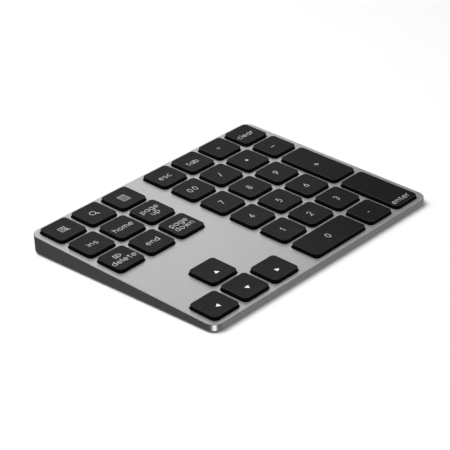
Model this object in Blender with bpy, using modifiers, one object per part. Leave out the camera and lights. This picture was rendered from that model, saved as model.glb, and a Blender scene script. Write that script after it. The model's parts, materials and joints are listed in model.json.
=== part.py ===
"""Numeric keypad: 34 low-profile keys in a wedge-shaped aluminium housing.

Metres, +Z up, +Y towards the back edge that holds the port and the switches. The origin is on the
surface that the feet stand on, under the middle of the keypad. Pieces that follow the sloping key
plate are children of the empty plate_frame, which lies in the middle of the plate's top face.
"""

import math

import bmesh
import bpy
from mathutils import Matrix

MM = 0.001

# Housing: a wedge with a sloping key plate, upright walls and a chamfer round its lower edge
BODY_WIDTH = 146.0 * MM
BODY_DEPTH = 112.3 * MM
CORNER_RADIUS = 5.0 * MM
FRONT_HEIGHT = 3.2 * MM
REAR_HEIGHT = 8.72 * MM
PLATE_THICKNESS = 1.0 * MM
WALL = 1.5 * MM
CHAMFER_IN = 0.3 * MM
CHAMFER_UP = 0.35 * MM
TOP_EDGE = 0.25 * MM
BODY_CORNER_STEPS = 8

# Feet and bottom cover
FOOT_HEIGHT = 0.9 * MM
FOOT_RADIUS = 4.3 * MM
FOOT_ROUNDING = 0.35 * MM
FOOT_INSET = 7.5 * MM
COVER_THICKNESS = 0.6 * MM
COVER_GAP = 0.2 * MM
FLUSH = 0.05 * MM

# Key grid, from the middle of the key at the back left corner
COLUMN_PITCH = 19.0 * MM
ROW_PITCH = 18.35 * MM
BLOCK_GAP = 8.5 * MM
NAVIGATION_COLUMNS = 3
FIRST_KEY = (-61.7 * MM, 45.85 * MM)
HOLE = (16.54 * MM, 16.07 * MM)
HOLE_RADIUS = 2.25 * MM

# Keycap, measured from the plate's top face
KEY_TOP = 1.74 * MM
KEY_CEILING = 0.94 * MM
KEY_BOTTOM = -0.3 * MM
KEY_TOP_GAP = 0.45 * MM
KEY_BOTTOM_GAP = 0.3 * MM
KEY_WALL = 0.8 * MM
KEY_EDGE = 0.3 * MM
KEY_CORNER_STEPS = 3

# Key name: (column, row, columns wide, rows deep)
KEYS = {
    "key_capture": (0, 0, 1, 1),
    "key_search": (1, 0, 1, 1),
    "key_calculator": (2, 0, 1, 1),
    "key_insert": (0, 1, 1, 1),
    "key_home": (1, 1, 1, 1),
    "key_page_up": (2, 1, 1, 1),
    "key_delete": (0, 2, 1, 1),
    "key_end": (1, 2, 1, 1),
    "key_page_down": (2, 2, 1, 1),
    "key_arrow_up": (1, 4, 1, 1),
    "key_arrow_left": (0, 5, 1, 1),
    "key_arrow_down": (1, 5, 1, 1),
    "key_arrow_right": (2, 5, 1, 1),
    "key_escape": (3, 0, 1, 1),
    "key_tab": (4, 0, 1, 1),
    "key_equals": (5, 0, 1, 1),
    "key_clear": (6, 0, 1, 1),
    "key_double_zero": (3, 1, 1, 1),
    "key_divide": (4, 1, 1, 1),
    "key_multiply": (5, 1, 1, 1),
    "key_minus": (6, 1, 1, 1),
    "key_7": (3, 2, 1, 1),
    "key_8": (4, 2, 1, 1),
    "key_9": (5, 2, 1, 1),
    "key_plus": (6, 2, 1, 2),
    "key_4": (3, 3, 1, 1),
    "key_5": (4, 3, 1, 1),
    "key_6": (5, 3, 1, 1),
    "key_1": (3, 4, 1, 1),
    "key_2": (4, 4, 1, 1),
    "key_3": (5, 4, 1, 1),
    "key_enter": (6, 4, 1, 2),
    "key_0": (3, 5, 2, 1),
    "key_decimal": (5, 5, 1, 1),
}

# Sheets under the keys, measured down from the plate's top face
SHEET_INSET = 0.3 * MM
SHEET_REAR_INSET = 2.0 * MM
DOME_FILM = (-1.95 * MM, -1.85 * MM)
MEMBRANE = (-2.1 * MM, -2.0 * MM)
SUPPORT_PLATE = (-2.45 * MM, -2.15 * MM)
DOME_BASE_RADIUS = 3.0 * MM
DOME_TOP_RADIUS = 1.5 * MM
DOME_CLEARANCE = 0.15 * MM
DOME_RIM = 0.2 * MM
DOME_SHOULDER = 0.55  # share of the height at which the dome has narrowed
DOME_STEPS = 2

# Screws that hold the support plate to bosses where four key holes meet, as (column, row)
CROSSINGS = {
    "plate_screw_rear_left": (0.5, 0.5),
    "plate_screw_rear_right": (5.5, 0.5),
    "plate_screw_front_left": (0.5, 4.5),
    "plate_screw_front_right": (4.5, 4.5),
}
BOSS_RADIUS = 1.9 * MM
BOSS_BOTTOM = -2.05 * MM
PILOT_RADIUS = 0.6 * MM
PILOT_TOP = -0.5 * MM
SCREW_RADIUS = 0.5 * MM
SCREW_TIP = -0.7 * MM
SCREW_HEAD_RADIUS = 1.25 * MM
SCREW_HEAD = 0.5 * MM
SCREW_CLEARANCE = 0.3 * MM
SCREW_SOCKET = 0.45 * MM
SCREW_STEPS = 3
SMALL_HOLE_SEGMENTS = 12

# Stabiliser wires under the double-size keys, each hinged in two tabs of the support plate
WIRE_RADIUS = 0.3 * MM
WIRE_HALF_SPAN = 13.4 * MM
WIRE_REACH = 5.7 * MM
WIRE_HINGE_SIDE = 0.3 * MM
WIRE_HINGE_HEIGHT = -1.45 * MM
WIRE_BAR_HEIGHT = 0.4 * MM
WIRE_END = 1.3 * MM
TAB_OFFSET = 0.75 * MM
TAB = (1.6 * MM, 0.4 * MM)
TAB_TOP = -0.9 * MM
TAB_HOLE_RADIUS = 0.42 * MM
TAB_SLOT_MARGIN = 0.3 * MM
STABILISED = {
    "stabiliser_wire_plus": "key_plus",
    "stabiliser_wire_enter": "key_enter",
    "stabiliser_wire_0": "key_0",
}

# Back edge: heights are above the housing's underside, X positions from the middle
PROUD = 0.4 * MM
PORT_X = 1.0 * MM
PORT_HEIGHT = 4.2 * MM
PORT_SHELL = (8.94 * MM, 3.2 * MM)
PORT_SHELL_WALL = 0.3 * MM
PORT_LENGTH = 7.3 * MM
PORT_BACK = 0.6 * MM
PORT_GAP = 0.2 * MM
TONGUE = (6.7 * MM, 0.7 * MM, 4.9 * MM)
TONGUE_BASE = (7.6 * MM, 2.0 * MM, 0.9 * MM)
CONTROL_HEIGHT = 5.0 * MM
SWITCH_X = -47.5 * MM
SWITCH_TRAVEL = 2.0 * MM
SWITCH_RECESS = (6.4 * MM, 2.8 * MM, 0.7 * MM)
SWITCH_SLOT = (4.0 * MM, 1.2 * MM)
KNOB = (3.2 * MM, 1.9 * MM)
KNOB_RIDGES = 3
KNOB_RIDGE = (0.3 * MM, 1.5 * MM, 0.4 * MM)
KNOB_RIDGE_PITCH = 0.8 * MM
STEM = (1.3 * MM, 0.7 * MM, 2.0 * MM)
SWITCH_BODY = (6.8 * MM, 1.3 * MM, 2.6 * MM)
SWITCH_BODY_SLOT = (4.0 * MM, 0.9 * MM, 1.2 * MM)
BUTTON_X = -32.9 * MM
BUTTON_TRAVEL = 0.5 * MM
BUTTON_RADIUS = 1.4 * MM
BUTTON_GAP = 0.15 * MM
BUTTON_FLANGE = (1.75 * MM, 0.3 * MM)
BUTTON_STEM = (0.55 * MM, 0.8 * MM)
BUTTON_STEPS = 5
PAIR_SWITCH = (3.6 * MM, 1.3 * MM, 1.8 * MM)
WINDOW_X = 47.4 * MM
WINDOW = (19.4 * MM, 1.8 * MM)
WINDOW_GAP = 0.2 * MM
WINDOW_FLANGE = (21.0 * MM, 2.6 * MM, 0.6 * MM)
SEAT_GAP = 0.15 * MM

# Circuit board and battery, heights above the housing's underside
BOARD_X = (-57.0 * MM, 65.0 * MM)
BOARD_Y = (40.0 * MM, 53.4 * MM)
BOARD_Z = (3.3 * MM, 4.1 * MM)
BOARD_NOTCH_GAP = 0.3 * MM
CHIPS = (
    (-22.0, 47.0, 7.0, 7.0),
    (-12.0, 47.5, 3.2, 2.5),
    (16.0, 46.0, 5.0, 5.0),
    (27.0, 47.0, 3.2, 1.6),
)
LEDS = (41.0, 47.4, 53.8)
LED_SIZE = (1.6 * MM, 1.5 * MM)
LED_SETBACK = 2.0 * MM
CHIP_HEIGHT = 0.9 * MM
LEDGES = ((-55.0, 4.0), (62.0, 5.0))
LEDGE_DEPTH = 3.5 * MM
LEDGE_Z = (4.2 * MM, 5.4 * MM)
BATTERY = (46.0 * MM, 25.0 * MM, 2.6 * MM)
BATTERY_PLACE = (-31.0 * MM, 21.0 * MM, 0.85 * MM)
BATTERY_RADIUS = 1.0 * MM
TAIL_WIDTH = 8.0 * MM
TAIL_THICKNESS = 0.12 * MM
TAIL_X = -9.9 * MM
TAIL_SLOT = (9.0 * MM, 3.4 * MM)
TAIL_SLOT_Y = 36.0 * MM
# The ribbon's bends: (distance behind the slot's middle, drop from the membrane or height over the board)
TAIL_DESCENT = ((-0.9 * MM, 0.0), (-0.2 * MM, 0.0), (0.5 * MM, 1.0 * MM))
TAIL_LANDING = ((1.4 * MM, 0.25 * MM), (2.6 * MM, 0.0), (4.8 * MM, 0.0))
TAIL_LIFT = 0.45 * MM
CONNECTOR = (9.6 * MM, 3.0 * MM, 0.8 * MM)
CONNECTOR_SETBACK = 1.0 * MM

SLOPE = (REAR_HEIGHT - FRONT_HEIGHT) / BODY_DEPTH
TILT = math.atan(SLOPE)
BASE = FOOT_HEIGHT
BODY_Y = -PROUD / 2
REAR_FACE = BODY_Y + BODY_DEPTH / 2
REAR_INNER = REAR_FACE - WALL
PLATE_MIDDLE = BASE + (FRONT_HEIGHT + REAR_HEIGHT) / 2
CUT_MARGIN = 1.0 * MM
WELD = 1e-7
SHARP_ANGLE = math.radians(30)


def clear_scene():
    for obj in list(bpy.data.objects):
        bpy.data.objects.remove(obj, do_unlink=True)


def new_collection(name):
    collection = bpy.data.collections.new(name)
    bpy.context.scene.collection.children.link(collection)
    return collection


def new_material(name, colour, roughness, metallic=0.0):
    material = bpy.data.materials.new(name)
    material.use_nodes = True
    shader = material.node_tree.nodes["Principled BSDF"]
    shader.inputs["Base Color"].default_value = (*colour, 1.0)
    shader.inputs["Roughness"].default_value = roughness
    shader.inputs["Metallic"].default_value = metallic
    return material


def ring(width, depth, radius, z, slope=0.0, steps=KEY_CORNER_STEPS):
    """Points of a rounded rectangle, anticlockwise seen from above, at height z + slope * y."""
    points = []
    for quarter, (side_x, side_y) in enumerate(((1, 1), (-1, 1), (-1, -1), (1, -1))):
        centre_x = side_x * (width / 2 - radius)
        centre_y = side_y * (depth / 2 - radius)
        for step in range(steps + 1):
            angle = math.radians(90) * (quarter + step / steps)
            x = centre_x + radius * math.cos(angle)
            y = centre_y + radius * math.sin(angle)
            points.append((x, y, z + slope * y))
    return points


def loft(rings):
    """Closed solid whose skin runs from the first ring to the last, with a flat cap on each end."""
    bm = bmesh.new()
    loops = [[bm.verts.new(point) for point in points] for points in rings]
    for lower, upper in zip(loops, loops[1:]):
        for i in range(len(lower)):
            j = (i + 1) % len(lower)
            bm.faces.new((lower[i], lower[j], upper[j], upper[i]))
    bm.faces.new(reversed(loops[0]))
    bm.faces.new(loops[-1])
    bmesh.ops.remove_doubles(bm, verts=bm.verts, dist=WELD)
    bmesh.ops.recalc_face_normals(bm, faces=bm.faces)
    return bm


def block(low, high):
    """Box between two corners."""
    bm = bmesh.new()
    bmesh.ops.create_cube(bm, size=1.0)
    size = [b - a for a, b in zip(low, high)]
    middle = [(a + b) / 2 for a, b in zip(low, high)]
    bmesh.ops.scale(bm, vec=size, verts=bm.verts)
    bmesh.ops.translate(bm, vec=middle, verts=bm.verts)
    return bm


def cylinder(radius, low, high, x=0.0, y=0.0, segments=20):
    """Upright cylinder between two heights."""
    bm = bmesh.new()
    place = Matrix.Translation((x, y, (low + high) / 2))
    bmesh.ops.create_cone(
        bm,
        cap_ends=True,
        segments=segments,
        radius1=radius,
        radius2=radius,
        depth=high - low,
        matrix=place,
    )
    return bm


def moved(bm, x, y, z=0.0):
    bmesh.ops.translate(bm, vec=(x, y, z), verts=bm.verts)
    return bm


def gathered(parts):
    """One bmesh that holds several, which stay separate shells."""
    whole = bmesh.new()
    for bm in parts:
        mesh = bpy.data.meshes.new("gathered")
        bm.to_mesh(mesh)
        bm.free()
        whole.from_mesh(mesh)
        bpy.data.meshes.remove(mesh)
    return whole


def mesh_from(name, bm):
    mesh = bpy.data.meshes.new(name)
    bm.to_mesh(mesh)
    bm.free()
    return mesh


def add_object(name, mesh, material, place=(0, 0, 0), parent=None):
    """Visible sub-part in the keypad's collection."""
    if not mesh.materials:
        mesh.materials.append(material)
    mesh.shade_smooth()
    mesh.set_sharp_from_angle(angle=SHARP_ANGLE)
    obj = bpy.data.objects.new(name, mesh)
    obj.location = place
    obj.parent = parent
    parts.objects.link(obj)
    return obj


def add_helper(name, bm, parent=None, place=(0, 0, 0), facing_rear=False):
    """Hidden solid that a Boolean cuts with or joins."""
    obj = bpy.data.objects.new(name, mesh_from(name, bm))
    obj.location = place
    obj.parent = parent
    if facing_rear:
        obj.rotation_euler.x = math.radians(-90)
    obj.hide_render = True
    obj.display_type = "WIRE"
    cutters.objects.link(obj)
    return obj


def boolean(obj, helper, operation="DIFFERENCE"):
    modifier = obj.modifiers.new(helper.name, "BOOLEAN")
    modifier.operation = operation
    modifier.object = helper


def outline_sheet(name, loops, low, high):
    """Flat sheet between two heights from a filled 2D curve: its outer edge first, then its holes."""
    curve = bpy.data.curves.new(name, "CURVE")
    curve.dimensions = "2D"
    curve.fill_mode = "BOTH"
    curve.extrude = (high - low) / 2
    for loop in loops:
        spline = curve.splines.new("POLY")
        spline.points.add(len(loop) - 1)
        for point, (x, y) in zip(spline.points, loop):
            point.co = (x, y, 0, 1)
        spline.use_cyclic_u = True
    return curve_to_bmesh(name, curve, (low + high) / 2)


def curve_to_bmesh(name, curve, lift=0.0):
    """Welded solid of a curve, moved up by lift."""
    obj = bpy.data.objects.new(name + "_curve", curve)
    bpy.context.scene.collection.objects.link(obj)
    graph = bpy.context.evaluated_depsgraph_get()
    mesh = bpy.data.meshes.new_from_object(obj.evaluated_get(graph))
    bm = bmesh.new()
    bm.from_mesh(mesh)
    bmesh.ops.remove_doubles(bm, verts=bm.verts, dist=WELD)
    bmesh.ops.translate(bm, vec=(0, 0, lift), verts=bm.verts)
    bmesh.ops.recalc_face_normals(bm, faces=bm.faces)
    bpy.data.objects.remove(obj)
    bpy.data.curves.remove(curve)
    bpy.data.meshes.remove(mesh)
    return bm


def circle(x, y, radius, segments=16):
    turn = math.radians(360)
    return [
        (x + radius * math.cos(turn * i / segments), y + radius * math.sin(turn * i / segments))
        for i in range(segments)
    ]


def rectangle(x, y, width, depth):
    left = x - width / 2
    front = y - depth / 2
    return [(left, front), (left + width, front), (left + width, front + depth), (left, front + depth)]


def grid_place(column, row):
    """Point of the key grid in plate coordinates; whole numbers are key centres."""
    x = FIRST_KEY[0] + column * COLUMN_PITCH
    if column >= NAVIGATION_COLUMNS:
        x += BLOCK_GAP
    return x, FIRST_KEY[1] - row * ROW_PITCH


def key_centre(key):
    column, row, columns, rows = KEYS[key]
    x, y = grid_place(column, row)
    return x + (columns - 1) * COLUMN_PITCH / 2, y - (rows - 1) * ROW_PITCH / 2


def hole_size(key):
    _, _, columns, rows = KEYS[key]
    return HOLE[0] + (columns - 1) * COLUMN_PITCH, HOLE[1] + (rows - 1) * ROW_PITCH


def is_wide(key):
    return KEYS[key][2] > 1


def wire_hinge(key):
    """Middle of a stabiliser wire's hinge axis in plate coordinates, and the wire's turn about Z."""
    x, y = key_centre(key)
    if is_wide(key):
        return x, y + WIRE_HINGE_SIDE, math.radians(90)
    return x + WIRE_HINGE_SIDE, y, 0.0


def tab_places():
    """Centres of the stabiliser tabs in plate coordinates, with the turn of each."""
    places = []
    for key in STABILISED.values():
        x, y, turn = wire_hinge(key)
        for side in (-1, 1):
            along = side * (WIRE_HALF_SPAN + TAB_OFFSET)
            places.append((x - along * math.sin(turn), y + along * math.cos(turn), turn))
    return places


def tab_slots():
    """Openings that let the tabs through the sheets above the support plate."""
    slots = []
    for x, y, turn in tab_places():
        size = [length + 2 * TAB_SLOT_MARGIN for length in TAB]
        if turn:
            size.reverse()
        slots.append(rectangle(x, y, *size))
    return slots


def body_ring(inset, z, slope=0.0):
    return ring(
        BODY_WIDTH - 2 * inset,
        BODY_DEPTH - 2 * inset,
        CORNER_RADIUS - inset,
        z,
        slope,
        BODY_CORNER_STEPS,
    )


def make_housing(material):
    """Machined top shell: key plate and walls in one piece."""
    outer = loft(
        [
            body_ring(CHAMFER_IN, BASE),
            body_ring(0, BASE + CHAMFER_UP),
            body_ring(0, PLATE_MIDDLE - TOP_EDGE, SLOPE),
            body_ring(TOP_EDGE, PLATE_MIDDLE, SLOPE),
        ]
    )
    housing = add_object("top_housing", mesh_from("top_housing", outer), material, (0, BODY_Y, 0))
    cavity = loft([body_ring(WALL, BASE - CUT_MARGIN), body_ring(WALL, PLATE_MIDDLE - PLATE_THICKNESS, SLOPE)])
    boolean(housing, add_helper("cavity", cavity, place=(0, BODY_Y, 0)))
    boolean(housing, add_helper("screw_bosses", make_bosses(), plate_frame), "UNION")
    boolean(housing, add_helper("board_ledges", make_ledges()), "UNION")
    boolean(housing, add_helper("key_holes", make_key_holes(), plate_frame))
    boolean(housing, add_helper("pilot_holes", make_pilot_holes(), plate_frame))
    boolean(housing, add_helper("rear_openings", make_rear_openings(), facing_rear=True))
    return housing


def make_bosses():
    top = -PLATE_THICKNESS / 2
    return gathered(
        cylinder(BOSS_RADIUS, BOSS_BOTTOM, top, *grid_place(*crossing)) for crossing in CROSSINGS.values()
    )


def make_pilot_holes():
    low = BOSS_BOTTOM - CUT_MARGIN
    return gathered(
        cylinder(PILOT_RADIUS, low, PILOT_TOP, *grid_place(*crossing), segments=SMALL_HOLE_SEGMENTS)
        for crossing in CROSSINGS.values()
    )


def make_ledges():
    """Blocks on the rear wall that the board's ends sit against."""
    blocks = []
    for x, width in LEDGES:
        low = ((x - width / 2) * MM, REAR_INNER - LEDGE_DEPTH, BASE + LEDGE_Z[0])
        high = ((x + width / 2) * MM, REAR_INNER + WALL / 2, BASE + LEDGE_Z[1])
        blocks.append(block(low, high))
    return gathered(blocks)


def make_key_holes():
    prisms = []
    for key in KEYS:
        width, depth = hole_size(key)
        low = ring(width, depth, HOLE_RADIUS, -PLATE_THICKNESS - CUT_MARGIN)
        high = ring(width, depth, HOLE_RADIUS, CUT_MARGIN)
        prisms.append(moved(loft([low, high]), *key_centre(key)))
    return gathered(prisms)


def rear_prism(width, height, x, level, low, high):
    """Round-ended prism in the frame of a piece that faces the rear: its Z is the keypad's Y."""
    radius = min(width, height) / 2
    bm = loft([ring(width, height, radius, low), ring(width, height, radius, high)])
    return moved(bm, x, -(BASE + level))


def make_rear_openings():
    """Port opening, switch slot and its recess, button hole and light slot in the rear wall."""
    inside = REAR_INNER - CUT_MARGIN
    outside = REAR_FACE + CUT_MARGIN
    port = [length + 2 * PORT_GAP for length in PORT_SHELL]
    window = [length + 2 * WINDOW_GAP for length in WINDOW]
    button = 2 * (BUTTON_RADIUS + BUTTON_GAP)
    recess_floor = REAR_FACE - SWITCH_RECESS[2]
    slot_end = recess_floor + CUT_MARGIN / 4
    recess = rear_prism(*SWITCH_RECESS[:2], SWITCH_X, CONTROL_HEIGHT, recess_floor, outside)
    slot = rear_prism(*SWITCH_SLOT, SWITCH_X, CONTROL_HEIGHT, inside, slot_end)
    return gathered(
        [
            rear_prism(*port, PORT_X, PORT_HEIGHT, inside, outside),
            rear_prism(*window, WINDOW_X, CONTROL_HEIGHT, inside, outside),
            rear_prism(button, button, BUTTON_X, CONTROL_HEIGHT, inside, outside),
            joined(recess, slot),
        ]
    )


def joined(first, second):
    """Boolean union of two overlapping solids."""
    base = bpy.data.objects.new("joined_first", mesh_from("joined_first", first))
    other = bpy.data.objects.new("joined_second", mesh_from("joined_second", second))
    cutters.objects.link(base)
    cutters.objects.link(other)
    boolean(base, other, "UNION")
    graph = bpy.context.evaluated_depsgraph_get()
    bm = bmesh.new()
    bm.from_mesh(base.evaluated_get(graph).to_mesh())
    bpy.data.objects.remove(base)
    bpy.data.objects.remove(other)
    return bm


def make_cover_and_feet(cover_material, rubber):
    """Bottom cover set into the housing's rim, with a glued rubber foot near each corner."""
    inset = WALL + COVER_GAP
    low = BASE + FLUSH
    cover = loft([body_ring(inset, low), body_ring(inset, low + COVER_THICKNESS)])
    add_object("bottom_cover", mesh_from("bottom_cover", cover), cover_material, (0, BODY_Y, 0))
    flat = 2 * (FOOT_RADIUS - FOOT_ROUNDING)
    full = 2 * FOOT_RADIUS
    foot = loft(
        [
            ring(flat, flat, flat / 2, 0),
            ring(full, full, full / 2, FOOT_ROUNDING),
            ring(full, full, full / 2, FOOT_HEIGHT),
        ]
    )
    mesh = mesh_from("foot", foot)
    reach_x = BODY_WIDTH / 2 - FOOT_INSET
    reach_y = BODY_DEPTH / 2 - FOOT_INSET
    for depth_name, side_y in (("front", -1), ("rear", 1)):
        for side_name, side_x in (("left", -1), ("right", 1)):
            place = (side_x * reach_x, BODY_Y + side_y * reach_y, 0)
            add_object(f"foot_{depth_name}_{side_name}", mesh, rubber, place)


def keycap_mesh(key):
    """Cap with flared sides and an open underside, about its own centre."""
    hole_w, hole_d = hole_size(key)

    def cap_ring(gap, radius, z):
        return ring(hole_w - 2 * gap, hole_d - 2 * gap, radius, z)

    outer_radius = HOLE_RADIUS - KEY_BOTTOM_GAP
    inner_radius = outer_radius - KEY_WALL
    return mesh_from(
        key,
        loft(
            [
                cap_ring(KEY_TOP_GAP + KEY_WALL, inner_radius, KEY_CEILING),
                cap_ring(KEY_BOTTOM_GAP + KEY_WALL, inner_radius, KEY_BOTTOM),
                cap_ring(KEY_BOTTOM_GAP, outer_radius, KEY_BOTTOM),
                cap_ring(KEY_TOP_GAP, outer_radius, KEY_TOP - KEY_EDGE),
                cap_ring(KEY_TOP_GAP + KEY_EDGE, outer_radius - KEY_EDGE, KEY_TOP),
            ]
        ),
    )


def make_keycaps(material):
    """One cap per key; keys of one size share a mesh."""
    meshes = {}
    for key in KEYS:
        size = hole_size(key)
        if size not in meshes:
            meshes[size] = keycap_mesh(key)
        x, y = key_centre(key)
        add_object(key, meshes[size], material, (x, y, 0), plate_frame)


def sheet_edge():
    """Outline of the sheets, which stop short of the rear wall to leave room for the controls."""
    inset = WALL + SHEET_INSET
    rear_inset = WALL + SHEET_REAR_INSET
    edge = ring(BODY_WIDTH - 2 * inset, BODY_DEPTH - inset - rear_inset, CORNER_RADIUS - inset, 0)
    return [(x, y + (inset - rear_inset) / 2) for x, y, _ in edge]


def tail_slot():
    return rectangle(TAIL_X, TAIL_SLOT_Y, *TAIL_SLOT)


def make_sheets(steel, film, rubber):
    """Support plate, membrane and dome sheet, stacked under the keys."""
    crossings = [grid_place(*crossing) for crossing in CROSSINGS.values()]
    screw_holes = [circle(*place, SCREW_RADIUS + SCREW_CLEARANCE) for place in crossings]
    boss_holes = [circle(*place, BOSS_RADIUS + SCREW_CLEARANCE) for place in crossings]
    plate_loops = [sheet_edge(), tail_slot(), *screw_holes]
    film_loops = [sheet_edge(), tail_slot(), *boss_holes, *tab_slots()]

    bm = outline_sheet("support_plate", plate_loops, *SUPPORT_PLATE)
    plate = add_object("key_support_plate", mesh_from("key_support_plate", bm), steel, parent=plate_frame)
    boolean(plate, add_helper("stabiliser_tabs", make_tabs(), plate_frame), "UNION")
    boolean(plate, add_helper("tab_holes", make_tab_holes(), plate_frame))

    bm = outline_sheet("membrane", film_loops, *MEMBRANE)
    add_object("membrane_sheet", mesh_from("membrane_sheet", bm), film, parent=plate_frame)

    bm = outline_sheet("dome_film", film_loops, *DOME_FILM)
    domes = add_object("dome_sheet", mesh_from("dome_sheet", bm), rubber, parent=plate_frame)
    boolean(domes, add_helper("domes", make_domes(), plate_frame), "UNION")


def make_tabs():
    tabs = []
    low = (SUPPORT_PLATE[0] + SUPPORT_PLATE[1]) / 2
    for x, y, turn in tab_places():
        half = [length / 2 for length in TAB]
        if turn:
            half.reverse()
        tabs.append(block((x - half[0], y - half[1], low), (x + half[0], y + half[1], TAB_TOP)))
    return gathered(tabs)


def make_tab_holes():
    """Round holes through the tabs, along each wire's hinge axis."""
    holes = []
    for x, y, turn in tab_places():
        hole = cylinder(TAB_HOLE_RADIUS, -TAB[1], TAB[1], segments=SMALL_HOLE_SEGMENTS)
        axis_turn = Matrix.Rotation(turn, 4, "Z") @ Matrix.Rotation(math.radians(90), 4, "X")
        bmesh.ops.transform(hole, matrix=axis_turn, verts=hole.verts)
        holes.append(moved(hole, x, y, WIRE_HINGE_HEIGHT))
    return gathered(holes)


def make_domes():
    """Rubber domes that reach up to the keycaps' ceilings."""
    low = (DOME_FILM[0] + DOME_FILM[1]) / 2
    top = KEY_CEILING - DOME_CLEARANCE
    shoulder = DOME_FILM[1] + (top - DOME_FILM[1]) * DOME_SHOULDER
    heights = ((DOME_BASE_RADIUS, low), (DOME_BASE_RADIUS, DOME_FILM[1] + DOME_RIM))
    heights += ((DOME_TOP_RADIUS, shoulder), (DOME_TOP_RADIUS, top))
    domes = []
    for key in KEYS:
        rings = [ring(2 * radius, 2 * radius, radius, z, steps=DOME_STEPS) for radius, z in heights]
        domes.append(moved(loft(rings), *key_centre(key)))
    return gathered(domes)


def make_screws(material):
    """Small screws from below, with a socket in each head."""
    head_top = SUPPORT_PLATE[0] - FLUSH
    head_bottom = head_top - SCREW_HEAD
    head = 2 * SCREW_HEAD_RADIUS
    shank = 2 * SCREW_RADIUS
    socket = 2 * SCREW_SOCKET
    bm = loft(
        [
            ring(socket, socket, SCREW_SOCKET, head_bottom + SCREW_HEAD / 2, steps=SCREW_STEPS),
            ring(socket, socket, SCREW_SOCKET, head_bottom, steps=SCREW_STEPS),
            ring(head, head, SCREW_HEAD_RADIUS, head_bottom, steps=SCREW_STEPS),
            ring(head, head, SCREW_HEAD_RADIUS, head_top, steps=SCREW_STEPS),
            ring(shank, shank, SCREW_RADIUS, head_top, steps=SCREW_STEPS),
            ring(shank, shank, SCREW_RADIUS, SCREW_TIP, steps=SCREW_STEPS),
        ]
    )
    mesh = mesh_from("plate_screw", bm)
    for name, crossing in CROSSINGS.items():
        x, y = grid_place(*crossing)
        add_object(name, mesh, material, (x, y, 0), plate_frame)


def wire_mesh():
    """Bent wire about its hinge axis, which is its own Y axis; the bar lies on its -X side."""
    rise = WIRE_BAR_HEIGHT - WIRE_HINGE_HEIGHT
    end = WIRE_HALF_SPAN + WIRE_END
    route = [
        (0, -end, 0),
        (0, -WIRE_HALF_SPAN, 0),
        (-WIRE_REACH, -WIRE_HALF_SPAN, rise),
        (-WIRE_REACH, WIRE_HALF_SPAN, rise),
        (0, WIRE_HALF_SPAN, 0),
        (0, end, 0),
    ]
    curve = bpy.data.curves.new("wire", "CURVE")
    curve.dimensions = "3D"
    curve.bevel_depth = WIRE_RADIUS
    curve.bevel_resolution = 2
    curve.use_fill_caps = True
    spline = curve.splines.new("POLY")
    spline.points.add(len(route) - 1)
    for point, place in zip(spline.points, route):
        point.co = (*place, 1)
    return mesh_from("stabiliser_wire", curve_to_bmesh("wire", curve))


def make_wires(material):
    mesh = wire_mesh()
    for name, key in STABILISED.items():
        x, y, turn = wire_hinge(key)
        wire = add_object(name, mesh, material, (x, y, WIRE_HINGE_HEIGHT), plate_frame)
        wire.rotation_euler.z = turn


def add_rear_piece(name, bm, material, x, level, y):
    """Piece modelled along its own Z, turned so that it points out of the rear face."""
    obj = add_object(name, mesh_from(name, bm), material, (x, y, BASE + level))
    obj.rotation_euler.x = math.radians(-90)
    return obj


def make_port(steel, plastic):
    """USB receptacle: a pressed shell with a contact tongue inside."""
    width, height = PORT_SHELL
    inner_w = width - 2 * PORT_SHELL_WALL
    inner_h = height - 2 * PORT_SHELL_WALL
    mouth = REAR_FACE - FLUSH
    shell = loft(
        [
            ring(inner_w, inner_h, inner_h / 2, PORT_BACK - PORT_LENGTH),
            ring(inner_w, inner_h, inner_h / 2, 0),
            ring(width, height, height / 2, 0),
            ring(width, height, height / 2, -PORT_LENGTH),
        ]
    )
    add_rear_piece("usb_port_shell", shell, steel, PORT_X, PORT_HEIGHT, mouth)
    floor = PORT_BACK - PORT_LENGTH + SEAT_GAP
    step = floor + TONGUE_BASE[2]
    tongue = loft(
        [
            ring(*TONGUE_BASE[:2], TONGUE_BASE[1] / 4, floor),
            ring(*TONGUE_BASE[:2], TONGUE_BASE[1] / 4, step),
            ring(*TONGUE[:2], TONGUE[1] / 4, step),
            ring(*TONGUE[:2], TONGUE[1] / 4, step + TONGUE[2]),
        ]
    )
    add_rear_piece("usb_port_tongue", tongue, plastic, PORT_X, PORT_HEIGHT, mouth)


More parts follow.
